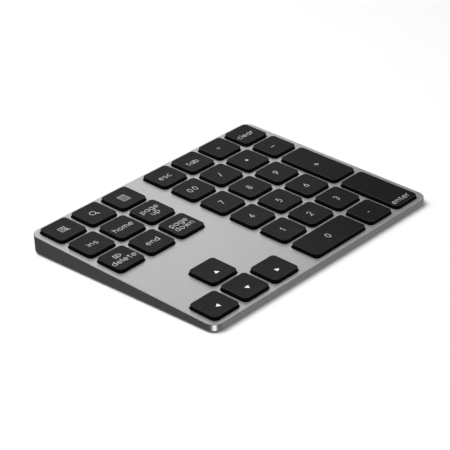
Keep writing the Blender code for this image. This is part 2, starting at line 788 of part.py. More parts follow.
def make_power_switch(plastic, dark):
    """Slide switch: body on the board, knob in the recess, at the off end of its travel."""
    knob_x = SWITCH_X - SWITCH_TRAVEL / 2
    back = -SWITCH_RECESS[2] + SEAT_GAP
    stem_w, stem_h, stem_length = STEM
    stem = block((-stem_w / 2, -stem_h / 2, back - stem_length), (stem_w / 2, stem_h / 2, back + SEAT_GAP))
    plate = loft([ring(*KNOB, KNOB[1] / 4, back), ring(*KNOB, KNOB[1] / 4, PROUD - KNOB_RIDGE[2])])
    knob = add_rear_piece("power_slider", plate, plastic, knob_x, CONTROL_HEIGHT, REAR_FACE)
    ridge_x, ridge_z, rise = KNOB_RIDGE
    ridges = [stem]
    for i in range(KNOB_RIDGES):
        x = (i - (KNOB_RIDGES - 1) / 2) * KNOB_RIDGE_PITCH
        low = (x - ridge_x / 2, -ridge_z / 2, PROUD - rise - SEAT_GAP)
        ridges.append(block(low, (x + ridge_x / 2, ridge_z / 2, PROUD)))
    boolean(knob, add_helper("slider_stem_and_ridges", gathered(ridges), knob), "UNION")

    width, height, depth = SWITCH_BODY
    front = REAR_INNER - REAR_FACE - SEAT_GAP
    body = block((-width / 2, -height / 2, front - depth), (width / 2, height / 2, front))
    switch = add_rear_piece("power_switch_body", body, dark, SWITCH_X, CONTROL_HEIGHT, REAR_FACE)
    slot_w, slot_h, slot_d = SWITCH_BODY_SLOT
    slot = block((-slot_w / 2, -slot_h / 2, front - slot_d), (slot_w / 2, slot_h / 2, front + CUT_MARGIN))
    boolean(switch, add_helper("slider_slot", slot, switch))


def make_pair_button(plastic, dark):
    """Round push button with a flange behind the wall, and the switch that it presses."""
    flange_top = REAR_INNER - REAR_FACE - SEAT_GAP
    flange_low = flange_top - BUTTON_FLANGE[1]
    tip = flange_low - BUTTON_STEM[1]
    edge = BUTTON_RADIUS / 8
    profile = (
        (BUTTON_STEM[0], tip),
        (BUTTON_STEM[0], flange_low),
        (BUTTON_FLANGE[0], flange_low),
        (BUTTON_FLANGE[0], flange_top),
        (BUTTON_RADIUS, flange_top),
        (BUTTON_RADIUS, PROUD - edge),
        (BUTTON_RADIUS - edge, PROUD),
    )
    cap = loft([ring(2 * radius, 2 * radius, radius, z, steps=BUTTON_STEPS) for radius, z in profile])
    add_rear_piece("pair_button", cap, plastic, BUTTON_X, CONTROL_HEIGHT, REAR_FACE)
    width, height, depth = PAIR_SWITCH
    front = tip - BUTTON_TRAVEL - SEAT_GAP
    body = block((-width / 2, -height / 2, front - depth), (width / 2, height / 2, front))
    add_rear_piece("pair_switch", body, dark, BUTTON_X, CONTROL_HEIGHT, REAR_FACE)


def make_window(diffuser):
    """Long light bar with a flange behind the wall."""
    flange_w, flange_h, flange_d = WINDOW_FLANGE
    flange_top = REAR_INNER - REAR_FACE - SEAT_GAP
    bm = loft(
        [
            ring(flange_w, flange_h, flange_h / 2, flange_top - flange_d),
            ring(flange_w, flange_h, flange_h / 2, flange_top),
            ring(*WINDOW, WINDOW[1] / 2, flange_top),
            ring(*WINDOW, WINDOW[1] / 2, -FLUSH),
        ]
    )
    add_rear_piece("light_window", bm, diffuser, WINDOW_X, CONTROL_HEIGHT, REAR_FACE)


def make_board(material):
    """Main board along the rear wall, notched for the port, with its larger components."""
    low = BASE + BOARD_Z[0]
    high = BASE + BOARD_Z[1]
    notch_half = PORT_SHELL[0] / 2 + BOARD_NOTCH_GAP
    notch_front = REAR_FACE - FLUSH - PORT_LENGTH - BOARD_NOTCH_GAP
    edge = [
        (BOARD_X[0], BOARD_Y[0]),
        (BOARD_X[1], BOARD_Y[0]),
        (BOARD_X[1], BOARD_Y[1]),
        (PORT_X + notch_half, BOARD_Y[1]),
        (PORT_X + notch_half, notch_front),
        (PORT_X - notch_half, notch_front),
        (PORT_X - notch_half, BOARD_Y[1]),
        (BOARD_X[0], BOARD_Y[1]),
    ]
    bm = outline_sheet("board_outline", [edge], low, high)
    board = add_object("main_board", mesh_from("main_board", bm), material)
    sink = (high - low) / 2
    pieces = [
        block(
            ((x - w / 2) * MM, (y - d / 2) * MM, high - sink),
            ((x + w / 2) * MM, (y + d / 2) * MM, high + CHIP_HEIGHT),
        )
        for x, y, w, d in CHIPS
    ]
    led_back = REAR_INNER - SEAT_GAP - WINDOW_FLANGE[2] - LED_SETBACK
    led_w, led_d = LED_SIZE
    for x in LEDS:
        low_corner = (x * MM - led_w / 2, led_back, high - sink)
        pieces.append(block(low_corner, (x * MM + led_w / 2, led_back + led_d, high + CHIP_HEIGHT)))
    width, depth, height = CONNECTOR
    start = BOARD_Y[0] + CONNECTOR_SETBACK
    far_corner = (TAIL_X + width / 2, start + depth, high + height)
    pieces.append(block((TAIL_X - width / 2, start, high - sink), far_corner))
    boolean(board, add_helper("board_components", gathered(pieces)), "UNION")


def make_battery(material):
    width, depth, height = BATTERY
    x, y, level = BATTERY_PLACE
    rounding = BATTERY_RADIUS / 2
    bm = loft(
        [
            ring(width - 2 * rounding, depth - 2 * rounding, BATTERY_RADIUS, 0),
            ring(width, depth, BATTERY_RADIUS, rounding),
            ring(width, depth, BATTERY_RADIUS, height - rounding),
            ring(width - 2 * rounding, depth - 2 * rounding, BATTERY_RADIUS, height),
        ]
    )
    add_object("battery", mesh_from("battery", bm), material, (x, y, BASE + level))


def plate_height(y, drop):
    """Height above the floor of a point that lies drop below the plate's top face, at keypad depth y."""
    return PLATE_MIDDLE + SLOPE * (y - BODY_Y) - drop


def make_tail(material):
    """Ribbon from under the membrane, through the support plate's slot, to the board's connector."""
    top = -MEMBRANE[0] + FLUSH + TAIL_THICKNESS / 2
    board_top = BASE + BOARD_Z[1] + TAIL_LIFT
    route = [(TAIL_SLOT_Y + y, plate_height(TAIL_SLOT_Y + y, top + drop)) for y, drop in TAIL_DESCENT]
    route += [(TAIL_SLOT_Y + y, board_top + height) for y, height in TAIL_LANDING]
    bm = bmesh.new()
    half = TAIL_WIDTH / 2
    left = [bm.verts.new((TAIL_X - half, y, z)) for y, z in route]
    right = [bm.verts.new((TAIL_X + half, y, z)) for y, z in route]
    for i in range(len(route) - 1):
        bm.faces.new((left[i], right[i], right[i + 1], left[i + 1]))
    tail = add_object("membrane_tail", mesh_from("membrane_tail", bm), material)
    solid = tail.modifiers.new("thickness", "SOLIDIFY")
    solid.thickness = TAIL_THICKNESS
    solid.offset = 0.0


clear_scene()
parts = new_collection("numeric_keypad")
cutters = new_collection("cutters")

plate_frame = bpy.data.objects.new("plate_frame", None)
plate_frame.location = (0, BODY_Y, PLATE_MIDDLE)
plate_frame.rotation_euler.x = TILT
parts.objects.link(plate_frame)
bpy.context.view_layer.update()

anodised = new_material("anodised_aluminium", (0.52, 0.53, 0.54), 0.38, 1.0)
key_plastic = new_material("key_plastic", (0.028, 0.028, 0.03), 0.55)
cover_plastic = new_material("cover_plastic", (0.012, 0.012, 0.013), 0.22)
foot_rubber = new_material("foot_rubber", (0.06, 0.06, 0.062), 0.8)
dome_rubber = new_material("dome_rubber", (0.02, 0.02, 0.022), 0.7)
membrane_film = new_material("membrane_film", (0.05, 0.05, 0.06), 0.4)
spring_steel = new_material("spring_steel", (0.55, 0.55, 0.56), 0.3, 1.0)
board_green = new_material("board_laminate", (0.02, 0.09, 0.05), 0.45)
battery_foil = new_material("battery_foil", (0.5, 0.5, 0.52), 0.35, 0.6)
control_plastic = new_material("control_plastic", (0.1, 0.1, 0.105), 0.45)
switch_plastic = new_material("switch_plastic", (0.02, 0.02, 0.02), 0.5)
window_plastic = new_material("window_plastic", (0.85, 0.85, 0.86), 0.35)

make_housing(anodised)
make_cover_and_feet(cover_plastic, foot_rubber)
make_keycaps(key_plastic)
make_sheets(spring_steel, membrane_film, dome_rubber)
make_screws(spring_steel)
make_wires(spring_steel)
make_port(spring_steel, switch_plastic)
make_power_switch(control_plastic, switch_plastic)
make_pair_button(control_plastic, switch_plastic)
make_window(window_plastic)
make_board(board_green)
make_battery(battery_foil)
make_tail(membrane_film)
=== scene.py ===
"""Looks of the numeric keypad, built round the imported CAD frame. Metres, in the row frame.

Shapes on the key plate are made in plate coordinates, whose origin is the middle of the plate's top
face: X to the right, Y up the slope to the rear edge, Z out of the plate.
"""

import json
import math

import bmesh
import bpy
from mathutils import Matrix, Vector

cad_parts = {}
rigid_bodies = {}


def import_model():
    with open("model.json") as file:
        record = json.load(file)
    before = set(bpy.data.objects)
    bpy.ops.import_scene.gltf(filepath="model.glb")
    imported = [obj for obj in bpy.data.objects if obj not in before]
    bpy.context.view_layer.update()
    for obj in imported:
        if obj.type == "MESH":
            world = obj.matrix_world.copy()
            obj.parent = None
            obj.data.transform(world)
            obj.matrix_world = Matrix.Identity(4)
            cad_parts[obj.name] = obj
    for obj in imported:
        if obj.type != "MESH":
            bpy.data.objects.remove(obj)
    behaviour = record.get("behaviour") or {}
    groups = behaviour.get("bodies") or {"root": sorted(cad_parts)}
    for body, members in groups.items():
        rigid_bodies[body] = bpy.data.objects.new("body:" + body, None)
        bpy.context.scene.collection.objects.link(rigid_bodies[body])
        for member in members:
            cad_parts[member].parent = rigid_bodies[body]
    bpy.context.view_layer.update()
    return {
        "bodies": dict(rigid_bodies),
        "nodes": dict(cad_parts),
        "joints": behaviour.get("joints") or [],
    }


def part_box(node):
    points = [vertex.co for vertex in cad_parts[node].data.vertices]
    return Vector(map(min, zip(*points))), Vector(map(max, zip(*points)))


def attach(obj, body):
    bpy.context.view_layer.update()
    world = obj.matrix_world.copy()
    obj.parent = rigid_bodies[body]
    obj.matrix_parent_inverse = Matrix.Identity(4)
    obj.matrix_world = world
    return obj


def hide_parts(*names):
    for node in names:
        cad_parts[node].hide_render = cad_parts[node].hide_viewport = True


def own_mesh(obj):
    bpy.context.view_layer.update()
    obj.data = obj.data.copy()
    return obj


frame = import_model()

MM = 0.001
WELD = 1e-7
SHARP_ANGLE = math.radians(32)

# Housing
CORNER_RADIUS = 5.0 * MM
CORNER_STEPS = 14
WALL = 1.5 * MM
PLATE_THICKNESS = 1.0 * MM
CHAMFER_IN = 0.3 * MM
CHAMFER_UP = 0.35 * MM
LIP_HEIGHT = 0.4 * MM
TOP_ROUNDING = 0.3 * MM
SMALL_EDGE = 0.12 * MM
HOLE_GAP = 0.3 * MM
HOLE_RADIUS = 2.25 * MM
HOLE_STEPS = 7
COVER_GAP = 0.2 * MM
COVER_EDGE = 0.12 * MM
# Upward part of a face's normal above which the face belongs to the key plate, whose less metallic
# aluminium is painted light
PLATE_RISE = 0.9

# Feet; the ring pressed into a foot's face is given by inset and height
FOOT_EDGE = 0.35 * MM
FOOT_RING = ((0.9 * MM, 0.0), (1.05 * MM, 0.08 * MM), (1.2 * MM, 0.0))

# Keycaps
KEY_STEPS = 6
KEY_SIDE_STEPS = 6
KEY_FLARE = 0.15 * MM
KEY_WALL = 0.8 * MM
KEY_TOP_THICKNESS = 0.8 * MM
KEY_ROUNDING = 0.34 * MM
KEY_DISH = 0.16 * MM
KEY_LEAST_CORNER = 0.12 * MM
# Shares of the flare and of the side's height at the break in a cap's flared side
FLARE_BREAK = (0.55, 0.35)
# Rings of the dish, as shares of the way from the rim towards the cap's middle
DISH_RINGS = (0.08, 0.17, 0.28, 0.4, 0.55, 0.75, 1.0)
# Share of a face's normal out of the plate, above which the face is a cap's top or, next, its rim; the
# rim gets a painted highlight and the faces below it, the sides, get painted shade
KEY_TOP_RISE = 0.97
KEY_SIDE_RISE = 0.6

# Domes; the profile gives radius in millimetres and share of the height, from the hollow's
# ceiling down the inside to the film and then up the outside
DOME_FILM = 0.1 * MM
DOME_PROFILE = (
    (0.9, 0.62), (1.1, 0.45), (2.7, 0.02), (2.75, 0.0), (3.0, 0.0), (3.0, 0.07),
    (2.8, 0.13), (1.7, 0.5), (1.5, 0.58), (1.5, 0.96), (1.4, 1.0),
)

# Legends, in plate millimetres from the key's middle
LEGEND_LIFT = 0.012 * MM
LEGEND_SINK = 0.03 * MM
NAVIGATION_SHIFT = (-0.15, -0.1)
NUMBER_SHIFT = (-0.9, -0.1)
LETTER_UNIT = 0.215
LETTER_GAP = 4.3
LETTER_STROKE = 0.3
DIGIT_UNIT = 0.22
DIGIT_GAP = 7.0
WORD_BASELINE = -1.85
DIGIT_BASELINE = -1.7
UPPER_BASELINE = 0.65
LOWER_BASELINE = -3.25
ENTER_BASELINE = -14.6
STROKE = 0.36
# Keys whose left edge lies left of this belong to the navigation block
NAVIGATION_EDGE = -16.0 * MM

# Rear edge; a cutter reaches from inside the wall to just outside it
REAR_FRAME = Matrix.Rotation(math.radians(-90), 4, "X")
CUT_DEPTH = 3.0 * MM
OPENING_EASE = 0.15 * MM
OPENING_GAP = 0.2 * MM
FLANGE_GAP = 0.15 * MM
CONTROL_EDGE = 0.2 * MM
PILL_STEPS = 8

PORT_WALL = 0.3 * MM
PORT_LIP = 0.06 * MM
PORT_FLOOR = 0.6 * MM
TONGUE_SIZE = (6.7 * MM, 0.7 * MM)
TONGUE_CORNER = 0.15 * MM
TONGUE_TIP_CORNER = 0.06 * MM
TONGUE_TAPER = 0.1 * MM
# Width, height and corner radius
TONGUE_BASE = (7.6 * MM, 2.0 * MM, 0.5 * MM)
TONGUE_BASE_DEPTH = 0.9 * MM
CONTACTS = 12
CONTACT_PITCH = 0.5 * MM
# Half the width and half the thickness of a contact
CONTACT_HALF = (0.12 * MM, 0.02 * MM)
# Bare stretch of the tongue behind and in front of its contacts
CONTACT_MARGINS = (0.6 * MM, 0.5 * MM)

# Width, height and depth
SWITCH_RECESS = (6.4 * MM, 2.8 * MM, 0.7 * MM)
SWITCH_SLOT = (4.0 * MM, 1.2 * MM)
SWITCH_TRAVEL = 2.0 * MM
SWITCH_OVERLAP = 0.1 * MM
# Width, height and corner radius of the stem that reaches in through the slot
KNOB_STEM = (1.3 * MM, 0.7 * MM, 0.1 * MM)
KNOB_GAP = 0.15 * MM
KNOB_EASE = 0.1 * MM
RIDGE_RISE = 0.4 * MM
RIDGE_SINK = 0.05 * MM
RIDGE_PITCH = 0.8 * MM
RIDGE_LENGTH = 1.2 * MM
RIDGE_CORNER = 0.06 * MM
# Widths of a finger ridge at its foot, halfway up and at its crest
RIDGE_WIDTHS = (0.36 * MM, 0.3 * MM, 0.14 * MM)

BUTTON_RADIUS = 1.4 * MM
BUTTON_GAP = 0.15 * MM
BUTTON_STEM = 0.55 * MM
# Radius and thickness
BUTTON_FLANGE = (1.75 * MM, 0.3 * MM)
# Radius and depth of the rings of the button's hollow face
BUTTON_HOLLOW = ((0.8 * MM, 0.05 * MM), (0.3 * MM, 0.09 * MM))

WINDOW_SIZE = (19.4 * MM, 1.8 * MM)

# Camera, found by fitting a pinhole camera to the key grid; the target is in plate millimetres
CAMERA_TARGET = (-3.97, 1.04, -4.18)
CAMERA_DISTANCE = 0.772
CAMERA_FORWARD = (0.63491, 0.58166, -0.50849)
CAMERA_UP = (0.37985, 0.33810, 0.86104)
CAMERA_LENS = 135.9
CAMERA_SENSOR = 36.0
CAMERA_CLIP = (0.05, 50.0)

# Floor and light; the sheen is aimed at a spot level with the plate and left of it, in plate
# millimetres, and each glow is its direction, how narrow it is and how strong
FLOOR_REACH = 6.0
OVERHEAD_PLACE = (-0.3, 0.35, 1.1)
OVERHEAD_SIZE = (0.9, 0.9)
OVERHEAD_POWER = 14.5
SHEEN_SPOT = (-95.0, -12.0, 0.0)
SHEEN_WAY = (0.635, 0.582, 0.508)
SHEEN_REACH = 0.30
SHEEN_SIZE = (0.23, 0.16)
SHEEN_POWER = 0.097
WORLD_BASE = 0.07
GLOWS = (
    ((0.0, 0.0, 1.0), 1.5, 0.19),
    ((-0.50, 0.60, 0.62), 50.0, 2.6),
    ((0.64, -0.50, 0.58), 50.0, 3.0),
    ((0.64, -0.46, -0.50), 7.0, 0.25),
    ((0.64, 0.35, -0.69), 6.0, 0.20),
    ((-0.58, -0.64, -0.51), 60.0, 7.0),
    ((0.22, 0.12, -0.97), 12.0, 0.6),
    ((-0.60, -0.55, 0.55), 4.0, 0.45),
)


def plate_matrix():
    """Matrix from plate coordinates to the row frame."""
    press = next(Vector(joint["axis"]) for joint in frame["joints"] if joint["child"] == "key_5")
    tilt = Matrix.Rotation(math.atan2(press.y, -press.z), 4, "X")
    low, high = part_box("top_housing")
    middle = (low + high) / 2
    untilt = tilt.inverted()
    top = max((untilt @ vertex.co).z for vertex in frame["nodes"]["top_housing"].data.vertices)
    flat_y = (untilt @ Vector((middle.x, middle.y, 0))).y
    origin = tilt @ Vector((middle.x, flat_y, top))
    return Matrix.Translation(origin) @ tilt


PLATE = plate_matrix()
TO_PLATE = PLATE.inverted()
BODY_LOW, BODY_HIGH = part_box("top_housing")
BASE = BODY_LOW.z
BODY_Y = (BODY_LOW.y + BODY_HIGH.y) / 2
BODY_SIZE = (BODY_HIGH.x - BODY_LOW.x, BODY_HIGH.y - BODY_LOW.y)
REAR_FACE = BODY_HIGH.y
SLOPE = math.tan(PLATE.to_euler().x)
PLATE_MIDDLE = PLATE.translation.z + SLOPE * (BODY_Y - PLATE.translation.y)
KEYS = [name for name in frame["bodies"] if name.startswith("key_")]


def plate_box(node):
    """Lowest and highest corner of a CAD node in plate coordinates."""
    points = [TO_PLATE @ vertex.co for vertex in frame["nodes"][node].data.vertices]
    low = Vector(min(point[axis] for point in points) for axis in range(3))
    high = Vector(max(point[axis] for point in points) for axis in range(3))
    return low, high


# ---------------------------------------------------------------------------------------- materials


def new_material(name, colour, roughness, metallic=0.0, **sockets):
    material = bpy.data.materials.new(name)
    material.use_nodes = True
    shader = material.node_tree.nodes["Principled BSDF"]
    shader.inputs["Base Color"].default_value = (*colour, 1.0)
    shader.inputs["Roughness"].default_value = roughness
    shader.inputs["Metallic"].default_value = metallic
    for socket, value in sockets.items():
        shader.inputs[socket.replace("_", " ")].default_value = value
    return material


def texture(material, kind, size, **settings):
    """Procedural texture on the surface's own coordinates; size is that of its features, in metres."""
    nodes, links = material.node_tree.nodes, material.node_tree.links
    node = nodes.new(kind)
    node.inputs["Scale"].default_value = 1.0 / size
    for socket, value in settings.items():
        node.inputs[socket].default_value = value
    coordinates = nodes.new("ShaderNodeTexCoord")
    links.new(coordinates.outputs["Object"], node.inputs["Vector"])
    return node


def ranged(material, value, low, high):
    """Maps a 0 to 1 value onto a range."""
    nodes, links = material.node_tree.nodes, material.node_tree.links
    node = nodes.new("ShaderNodeMapRange")
    node.inputs["To Min"].default_value = low
    node.inputs["To Max"].default_value = high
    links.new(value, node.inputs["Value"])
    return node.outputs["Result"]


def vary_roughness(material, size, low, high):
    shader = material.node_tree.nodes["Principled BSDF"]
    noise = texture(material, "ShaderNodeTexNoise", size, Detail=3.0)
    value = ranged(material, noise.outputs["Fac"], low, high)
    material.node_tree.links.new(value, shader.inputs["Roughness"])


def vary_colour(material, size, first, second, detail=3.0):
    nodes, links = material.node_tree.nodes, material.node_tree.links
    shader = nodes["Principled BSDF"]
    noise = texture(material, "ShaderNodeTexNoise", size, Detail=detail)
    mix = nodes.new("ShaderNodeMix")
    mix.data_type = "RGBA"
    mix.inputs["A"].default_value = (*first, 1.0)
    mix.inputs["B"].default_value = (*second, 1.0)
    links.new(noise.outputs["Fac"], mix.inputs["Factor"])
    links.new(mix.outputs["Result"], shader.inputs["Base Color"])


def add_bump(material, layers):
    """Bump from noise layers, each (feature size, depth), both in metres."""
    nodes, links = material.node_tree.nodes, material.node_tree.links
    shader = nodes["Principled BSDF"]
    previous = None
    for size, depth in layers:
        noise = texture(material, "ShaderNodeTexNoise", size, Detail=2.0)
        bump = nodes.new("ShaderNodeBump")
        bump.inputs["Strength"].default_value = 1.0
        bump.inputs["Distance"].default_value = depth
        links.new(noise.outputs["Fac"], bump.inputs["Height"])
        if previous:
            links.new(previous.outputs["Normal"], bump.inputs["Normal"])
        previous = bump
    links.new(previous.outputs["Normal"], shader.inputs["Normal"])


def aluminium(name, metallic):
    """Bead-blasted, anodised aluminium; a less metallic copy looks lighter under the overhead light,
    which the key plate uses as painted light on its top face.
    """
    material = new_material(name, (0.62, 0.62, 0.63), 0.42, metallic)
    vary_colour(material, 0.4 * MM, (0.52, 0.52, 0.53), (0.72, 0.72, 0.73), detail=4.0)
    vary_roughness(material, 6.0 * MM, 0.40, 0.46)
    add_bump(material, ((0.16 * MM, 0.004 * MM), (0.5 * MM, 0.003 * MM)))
    return material


def keycap_plastic(name, brightness, shine):
    material = new_material(name, [brightness] * 3, 0.42, Specular_IOR_Level=shine)
    vary_colour(material, 0.35 * MM, [0.65 * brightness] * 3, [1.35 * brightness] * 3)
    vary_roughness(material, 5.0 * MM, 0.38, 0.46)
    add_bump(material, ((0.16 * MM, 0.010 * MM), (0.45 * MM, 0.030 * MM)))
    return material


def legend_ink(name, brightness):
    material = new_material(name, (brightness, brightness, brightness), 0.55)
    vary_colour(material, 0.3 * MM, [0.92 * brightness] * 3, [1.04 * brightness] * 3)
    add_bump(material, ((0.15 * MM, 0.003 * MM),))
    return material


def cover_plastic():
    material = new_material("cover_plastic", (0.012, 0.012, 0.013), 0.25)
    vary_colour(material, 2.0 * MM, (0.010, 0.010, 0.011), (0.015, 0.015, 0.016))
    vary_roughness(material, 9.0 * MM, 0.2, 0.3)
    add_bump(material, ((0.3 * MM, 0.0015 * MM),))
    return material


def rubber(name, colour, roughness):
    material = new_material(name, colour, roughness, Specular_IOR_Level=0.35)
    lighter = [channel * 1.3 for channel in colour]
    vary_colour(material, 0.6 * MM, colour, lighter)
    vary_roughness(material, 2.0 * MM, roughness - 0.06, roughness + 0.06)
    add_bump(material, ((0.12 * MM, 0.01 * MM), (0.9 * MM, 0.008 * MM)))
    return material


def plated_steel():
    material = new_material("plated_steel", (0.58, 0.58, 0.59), 0.3, 1.0)
    vary_colour(material, 0.5 * MM, (0.53, 0.53, 0.54), (0.62, 0.62, 0.63))
    vary_roughness(material, 3.0 * MM, 0.24, 0.36)
    add_bump(material, ((0.2 * MM, 0.003 * MM),))
    return material


def moulded(name, colour, roughness):
    """Plain moulded plastic with a fine spark-eroded texture."""
    material = new_material(name, colour, roughness)
    lighter = [channel * 1.2 for channel in colour]
    vary_colour(material, 0.4 * MM, colour, lighter)
    vary_roughness(material, 2.0 * MM, roughness - 0.05, roughness + 0.05)
    add_bump(material, ((0.1 * MM, 0.004 * MM),))
    return material


def diffuser():
    """Milky plastic that light spreads in."""
    depth = 0.6 * MM
    material = new_material(
        "milky_diffuser", (0.86, 0.86, 0.87), 0.32, Subsurface_Weight=0.4, Subsurface_Scale=depth
    )
    vary_colour(material, 1.2 * MM, (0.84, 0.84, 0.85), (0.89, 0.89, 0.90))
    add_bump(material, ((0.25 * MM, 0.002 * MM),))
    return material


def gold():
    material = new_material("gold_contact", (0.83, 0.62, 0.27), 0.25, 1.0)
    vary_colour(material, 0.2 * MM, (0.80, 0.58, 0.24), (0.86, 0.66, 0.31))
    add_bump(material, ((0.08 * MM, 0.002 * MM),))
    return material


def battery_foil():
    material = new_material("battery_foil", (0.6, 0.6, 0.61), 0.4, 0.8)
    vary_roughness(material, 2.5 * MM, 0.3, 0.5)
    add_bump(material, ((3.0 * MM, 0.12 * MM), (0.4 * MM, 0.01 * MM)))
    return material


def board_laminate():
    """Solder mask over copper, whose edges show as faint steps."""
    material = new_material("board_laminate", (0.02, 0.10, 0.05), 0.35)
    nodes, links = material.node_tree.nodes, material.node_tree.links
    shader = nodes["Principled BSDF"]
    cells = texture(material, "ShaderNodeTexVoronoi", 1.8 * MM)
    cells.distance = "CHEBYCHEV"
    step = nodes.new("ShaderNodeMath")
    step.operation = "GREATER_THAN"
    step.inputs[1].default_value = 0.42
    links.new(cells.outputs["Distance"], step.inputs[0])
    mix = nodes.new("ShaderNodeMix")
    mix.data_type = "RGBA"
    mix.inputs["A"].default_value = (0.016, 0.075, 0.04, 1.0)
    mix.inputs["B"].default_value = (0.03, 0.13, 0.07, 1.0)
    links.new(step.outputs["Value"], mix.inputs["Factor"])
    links.new(mix.outputs["Result"], shader.inputs["Base Color"])
    add_bump(material, ((0.4 * MM, 0.004 * MM),))
    return material


# ----------------------------------------------------------------------------------- mesh building


def ring(width, depth, radius, z, steps, centre=(0.0, 0.0), along=0):
    """Points of a rounded rectangle, anticlockwise seen from above, with some along each side."""
    points = []
    for quarter, (side_x, side_y) in enumerate(((1, 1), (-1, 1), (-1, -1), (1, -1))):
        centre_x = centre[0] + side_x * (width / 2 - radius)
        centre_y = centre[1] + side_y * (depth / 2 - radius)
        for step in range(steps + 1):
            angle = math.radians(90) * (quarter + step / steps)
            x, y = centre_x + radius * math.cos(angle), centre_y + radius * math.sin(angle)
            points.append(Vector((x, y, z)))
    if not along:
        return points
    dense = []
    for i, point in enumerate(points):
        dense.append(point)
        if i % (steps + 1) == steps:
            following = points[(i + 1) % len(points)]
            dense += [point.lerp(following, part / (along + 1)) for part in range(1, along + 1)]
    return dense


def disc(radius, z, steps=10):
    return ring(2 * radius, 2 * radius, radius, z, steps)


def pill(width, height, z, inset=0.0):
    """Outline with round ends, moved in by inset."""
    return ring(width - 2 * inset, height - 2 * inset, height / 2 - inset, z, PILL_STEPS)


def add_skin(bm, rings):
    """Band of faces from each ring to the next; returns the loops of vertices."""
    loops = [[bm.verts.new(point) for point in points] for points in rings]
    for lower, upper in zip(loops, loops[1:]):
        for i in range(len(lower)):
            j = (i + 1) % len(lower)
            bm.faces.new((lower[i], lower[j], upper[j], upper[i]))
    return loops


def add_solid(bm, rings):
    """Closed skin with a flat cap on each end."""
    loops = add_skin(bm, rings)
    bm.faces.new(reversed(loops[0]))
    bm.faces.new(loops[-1])


def add_flat_fill(bm, loops, normal):
    """Flat face with holes between closed loops of points."""
    edges = []
    for points in loops:
        verts = [bm.verts.new(point) for point in points]
        edges += [bm.edges.new((verts[i - 1], verts[i])) for i in range(len(verts))]
    bmesh.ops.triangle_fill(bm, use_beauty=True, use_dissolve=False, edges=edges, normal=normal)


def rounded_steps(radius, count=4):
    """(inset, drop) pairs along a quarter round, from the side to the top."""
    turns = [math.radians(90) * i / count for i in range(count + 1)]
    return [(radius * (1 - math.cos(turn)), radius * (1 - math.sin(turn))) for turn in turns]


def clean(bm):
    bmesh.ops.remove_doubles(bm, verts=bm.verts, dist=WELD)
    bmesh.ops.recalc_face_normals(bm, faces=bm.faces)


def solid(rings):
    bm = bmesh.new()
    add_solid(bm, rings)
    clean(bm)
    return bm


def block(low, high):
    bm = bmesh.new()
    bmesh.ops.create_cube(bm, size=1.0)
    size = [b - a for a, b in zip(low, high)]
    middle = [(a + b) / 2 for a, b in zip(low, high)]
    bmesh.ops.scale(bm, vec=size, verts=bm.verts)
    bmesh.ops.translate(bm, vec=middle, verts=bm.verts)
    return bm


def gathered(parts):
    """One bmesh that holds several separate shells."""
    whole = bmesh.new()
    for bm in parts:
        mesh = bpy.data.meshes.new("gathered")
        bm.to_mesh(mesh)
        bm.free()
        whole.from_mesh(mesh)
        bpy.data.meshes.remove(mesh)
    return whole


def to_mesh(name, bm, matrix=None):
    if matrix:
        bmesh.ops.transform(bm, matrix=matrix, verts=bm.verts)
    mesh = bpy.data.meshes.new(name)
    bm.to_mesh(mesh)
    bm.free()
    return mesh


def weighted(mesh):
    """The mesh with its shading normals weighted by face area, so that flats look flat."""
    obj = bpy.data.objects.new("weighting", mesh)
    bpy.context.scene.collection.objects.link(obj)
    modifier = obj.modifiers.new("weighting", "WEIGHTED_NORMAL")
    modifier.keep_sharp = True
    graph = bpy.context.evaluated_depsgraph_get()
    result = bpy.data.meshes.new_from_object(obj.evaluated_get(graph))
    name = mesh.name
    bpy.data.objects.remove(obj)
    bpy.data.meshes.remove(mesh)
    result.name = name
    return result


def add_piece(name, mesh, material, body, replaced=()):
    """Visible piece of the keypad, which rides on a CAD body and may stand for CAD nodes."""
    mesh.materials.append(material)
    mesh.shade_smooth()
    mesh.set_sharp_from_angle(angle=SHARP_ANGLE)
    obj = bpy.data.objects.new(name, weighted(mesh))
    bpy.context.scene.collection.objects.link(obj)
    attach(obj, body)
    if replaced:
        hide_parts(*replaced)
    return obj


def cut(mesh, cutter, operation="DIFFERENCE"):
    """The mesh with a Boolean carried out on it."""
    base = bpy.data.objects.new("cut_base", mesh)
    tool = bpy.data.objects.new("cut_tool", to_mesh("cut_tool", cutter))
    for obj in (base, tool):
        bpy.context.scene.collection.objects.link(obj)
    modifier = base.modifiers.new("cut", "BOOLEAN")
    modifier.operation = operation
    modifier.object = tool
    graph = bpy.context.evaluated_depsgraph_get()
    result = bpy.data.meshes.new_from_object(base.evaluated_get(graph))
    result.name = mesh.name
    for obj in (base, tool):
        bpy.data.objects.remove(obj)
    return result


# ------------------------------------------------------------------------------------------ housing


def body_ring(inset, height, slope=0.0):
    """Outline of the housing moved in by inset; height is at the housing's middle."""
    width, depth = (size - 2 * inset for size in BODY_SIZE)
    points = ring(width, depth, CORNER_RADIUS - inset, height, CORNER_STEPS, (0.0, BODY_Y))
    for point in points:
        point.z += slope * (point.y - BODY_Y)
    return points


def on_plate(points):
    return [PLATE @ point for point in points]


def key_hole(key, outset, z):
    """Outline of a key's hole, in plate coordinates, widened by outset."""
    low, high = plate_box(key)
    centre = ((low.x + high.x) / 2, (low.y + high.y) / 2)
    width = high.x - low.x + 2 * (HOLE_GAP + outset)
    depth = high.y - low.y + 2 * (HOLE_GAP + outset)
    return ring(width, depth, HOLE_RADIUS + outset, z, HOLE_STEPS, centre)


